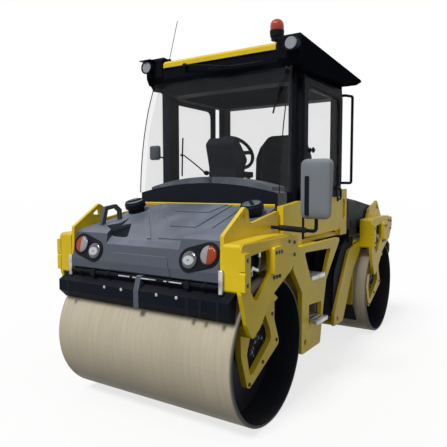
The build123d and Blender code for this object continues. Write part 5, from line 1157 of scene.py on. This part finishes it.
# Rear end: tail lamps, skirt round the pin's axis, and rubber that closes the gap under the hood's sides
TAIL_LAMP_RADIUS = 0.052
SKIRT = mm((954, 1149), (964, 1149), (964, 1296), (954, 1296))
SKIRT_HALF_ANGLE = math.radians(49)
SKIRT_STEPS = 24
SEAL = (-0.93, 0.7015, 1.22), (-0.64, 0.7135, 1.303)
LATCH_XS = (-0.776, -0.744)
LATCH_ZS = (1.305, 1.39)
LATCH_RISE = 0.007
ENGINE_COVER_LOW = Vector((-1.54, -0.115, 1.439))
ENGINE_COVER_HIGH = Vector((-1.18, 0.115, 1.49))
COVER_FINS = 7
COVER_FIN_LOW = Vector((-0.006, -0.105, -SUNK))
COVER_FIN_HIGH = Vector((0.006, 0.105, 0.008))
AIR_FILTER = mm((30, 0), (42, 4), (44, 70), (40, 74), (44, 78), (44, 200), (30, 206))
AIR_FILTER_PLACE = Vector((-1.09, 0.1, 1.485))


def rear_trim():
    """Tail lamp rims, skirt and seals under the hood, hood latches, and the engine's covers."""
    rims = Solid()
    low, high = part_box("rear_lamps")
    for side in SIDES:
        place = (high.x, (high.y - TAIL_LAMP_RADIUS) * side, (low.z + high.z) / 2)
        bezel(rims, place, -FORWARD, TAIL_LAMP_RADIUS)
    trim("tail_lamp_rims", rims, "black_shell", "rear_frame")

    rings = []
    for step in range(SKIRT_STEPS + 1):
        out = spoke(FORWARD, LEFT, math.pi + SKIRT_HALF_ANGLE * (2 * step / SKIRT_STEPS - 1))
        rings.append([out * radius + UP * z for radius, z in SKIRT])
    trim("rear_hood_skirt", Solid().rings(rings), "black_shell", "rear_frame")
    trim("rear_hood_seals", Solid().pair(*SEAL), "rubber", "rear_frame", bevel=0.002)

    hood_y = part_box("rear_hood")[1].y
    latch_ys = (hood_y - SUNK, hood_y + LATCH_RISE)
    latches = Solid().pair(*zip(LATCH_XS, latch_ys, LATCH_ZS))
    trim("rear_hood_latches", latches, "rubber", "rear_hood", bevel=0.003)

    cover = Solid().box(ENGINE_COVER_LOW, ENGINE_COVER_HIGH)
    pitch = (ENGINE_COVER_HIGH.x - ENGINE_COVER_LOW.x) / COVER_FINS
    for row in range(COVER_FINS):
        middle = Vector((ENGINE_COVER_LOW.x + (row + 0.5) * pitch, 0, ENGINE_COVER_HIGH.z))
        cover.box(middle + COVER_FIN_LOW, middle + COVER_FIN_HIGH)
    trim("engine_cover", cover, "dark_metal", "rear_frame", bevel=0.004)
    air_filter = Solid().lathe(AIR_FILTER, AIR_FILTER_PLACE, LEFT)
    trim("engine_air_filter", air_filter, "black_trim", "rear_frame")


for end, sign in (("front", 1), ("rear", -1)):
    fork_trim(end, HUB_X * sign, f"{end}_frame")
    spray_trim(end, sign, f"{end}_frame")
step_trim()
nose_trim()
windscreen_trim()
for side, word in SIDES.items():
    door_trim(word, side)
mirror_trim()
roof_trim()
cab_trim()
rear_trim()


# Seat pads: start smaller than their solids, swell, and get sewn channels across the axes named
PAD_START_INSET = 0.012
PAD_VOXEL = 0.008
PAD_PRESSURE = 4.0
PAD_STEPS = 20
PAD_SWELL = 0.024
CHANNEL_DEPTH = 0.011
CHANNEL_WIDTH = 0.011
CHANNEL_FACING = 0.3
CUSHION_CHANNELS = {"x": [-0.02, 0.09, 0.2], "y": [-0.075, 0.235]}
BACK_CHANNELS = {"z": [1.76, 1.89, 2.02, 2.14], "y": [-0.065, 0.225]}


def applied(pad):
    """Bakes the object's modifiers into its mesh."""
    shaped = bpy.data.meshes.new_from_object(pad.evaluated_get(bpy.context.evaluated_depsgraph_get()))
    pad.modifiers.clear()
    pad.data = shaped
    return shaped


def blown_up(pad):
    """Swells the pad by pressure, no point further than the swell allows."""
    before = [point.co.copy() for point in pad.data.vertices]
    fill = pad.modifiers.new("fill", "CLOTH")
    fill.settings.use_pressure = True
    fill.settings.uniform_pressure_force = PAD_PRESSURE
    fill.settings.effector_weights.gravity = 0
    for step in range(1, PAD_STEPS + 1):
        bpy.context.scene.frame_set(step)
    mesh = applied(pad)
    for point, start in zip(mesh.vertices, before):
        shift = point.co - start
        if shift.length > PAD_SWELL:
            point.co = start + shift * (PAD_SWELL / shift.length)
    bpy.context.scene.frame_set(1)


def sewn(mesh, channels, front):
    """Presses sewn channels into the side of the pad that faces the driver."""
    normals = [point.normal.copy() for point in mesh.vertices]
    for point, normal in zip(mesh.vertices, normals):
        if normal.dot(front) < CHANNEL_FACING:
            continue
        depth = 0.0
        for axis, places in channels.items():
            for place in places:
                away = (getattr(point.co, axis) - place) / CHANNEL_WIDTH
                depth = max(depth, math.exp(-away * away))
        point.co -= normal * depth * CHANNEL_DEPTH


def padded_piece(name, node, channels, front):
    """A seat pad made from its plain solid: remeshed, blown up, sewn and smoothed."""
    mesh = NODES[node].data.copy()
    mesh.materials.clear()
    low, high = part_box(node)
    middle = (low + high) / 2
    for point in mesh.vertices:
        for axis in range(3):
            share = 1 - 2 * PAD_START_INSET / (high[axis] - low[axis])
            point.co[axis] = middle[axis] + (point.co[axis] - middle[axis]) * share
    pad = add_piece(name, mesh, "seat_cloth")
    even = pad.modifiers.new("even", "REMESH")
    even.mode = "VOXEL"
    even.voxel_size = PAD_VOXEL
    applied(pad)
    blown_up(pad)
    sewn(pad.data, channels, front)
    pad.data.shade_smooth()
    finer = pad.modifiers.new("finer", "SUBSURF")
    finer.levels = 1
    finer.render_levels = 1
    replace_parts(pad, node)


padded_piece("driver_cushion", "seat_cushion", CUSHION_CHANNELS, UP)
padded_piece("driver_backrest", "seat_back", BACK_CHANNELS, FORWARD)


def floor_material():
    """White floor that keeps the object's soft shadow."""
    made = bpy.data.materials.new("pale_floor")
    tree = Tree(made)
    tree.nodes.clear()
    matt = tree.node("BsdfDiffuse", {"Color": tree.by_sight(FLOOR_BOUNCE, 1.0)})
    glow = tree.node("Emission", {"Color": WHITE})
    mixed = tree.node("MixShader", {0: tree.by_sight(0.0, FLOOR_WHITE_SHARE), 1: matt, 2: glow})
    output = tree.nodes.new("ShaderNodeOutputMaterial")
    tree.feed(output.inputs["Surface"], mixed)
    return made


def studio():
    """Pale floor, soft sun and white surroundings."""
    floor_mesh = bpy.data.meshes.new("floor")
    half = FLOOR_HALF_SIZE
    corners = [(-half, -half, 0), (half, -half, 0), (half, half, 0), (-half, half, 0)]
    floor_mesh.from_pydata(corners, [], [(0, 1, 2, 3)])
    floor = bpy.data.objects.new("floor", floor_mesh)
    bpy.context.collection.objects.link(floor)
    floor_mesh.materials.append(floor_material())

    sun_data = bpy.data.lights.new("sun", "SUN")
    sun_data.energy = SUN_STRENGTH
    sun_data.angle = SUN_ANGLE
    sun = bpy.data.objects.new("sun", sun_data)
    sun.rotation_mode = "QUATERNION"
    sun.rotation_quaternion = SUN_DIRECTION.to_track_quat("Z", "Y")
    bpy.context.collection.objects.link(sun)

    world = bpy.data.worlds.new("studio")
    bpy.context.scene.world = world
    sky = Tree(world)
    background = sky.nodes["Background"]
    sky.feed(background.inputs["Color"], WHITE)
    sky.feed(background.inputs["Strength"], sky.by_sight(WORLD_STRENGTH, 1.0))


def photo_camera():
    """Camera that the photograph was taken with, as fitted to the two drums."""
    quarter = math.pi / 2
    place = Matrix.Translation(CAMERA_PLACE)
    for turn, axis in ((CAMERA_YAW - quarter, "Z"), (CAMERA_PITCH + quarter, "X"), (-CAMERA_ROLL, "Z")):
        place @= Matrix.Rotation(turn, 4, axis)
    data = bpy.data.cameras.new("camera")
    data.lens = CAMERA_LENS_MM
    data.sensor_width = CAMERA_SENSOR_MM
    camera = bpy.data.objects.new("camera", data)
    camera.matrix_world = place
    bpy.context.collection.objects.link(camera)
    bpy.context.scene.camera = camera


studio()
photo_camera()
bpy.context.scene.view_settings.view_transform = "Standard"
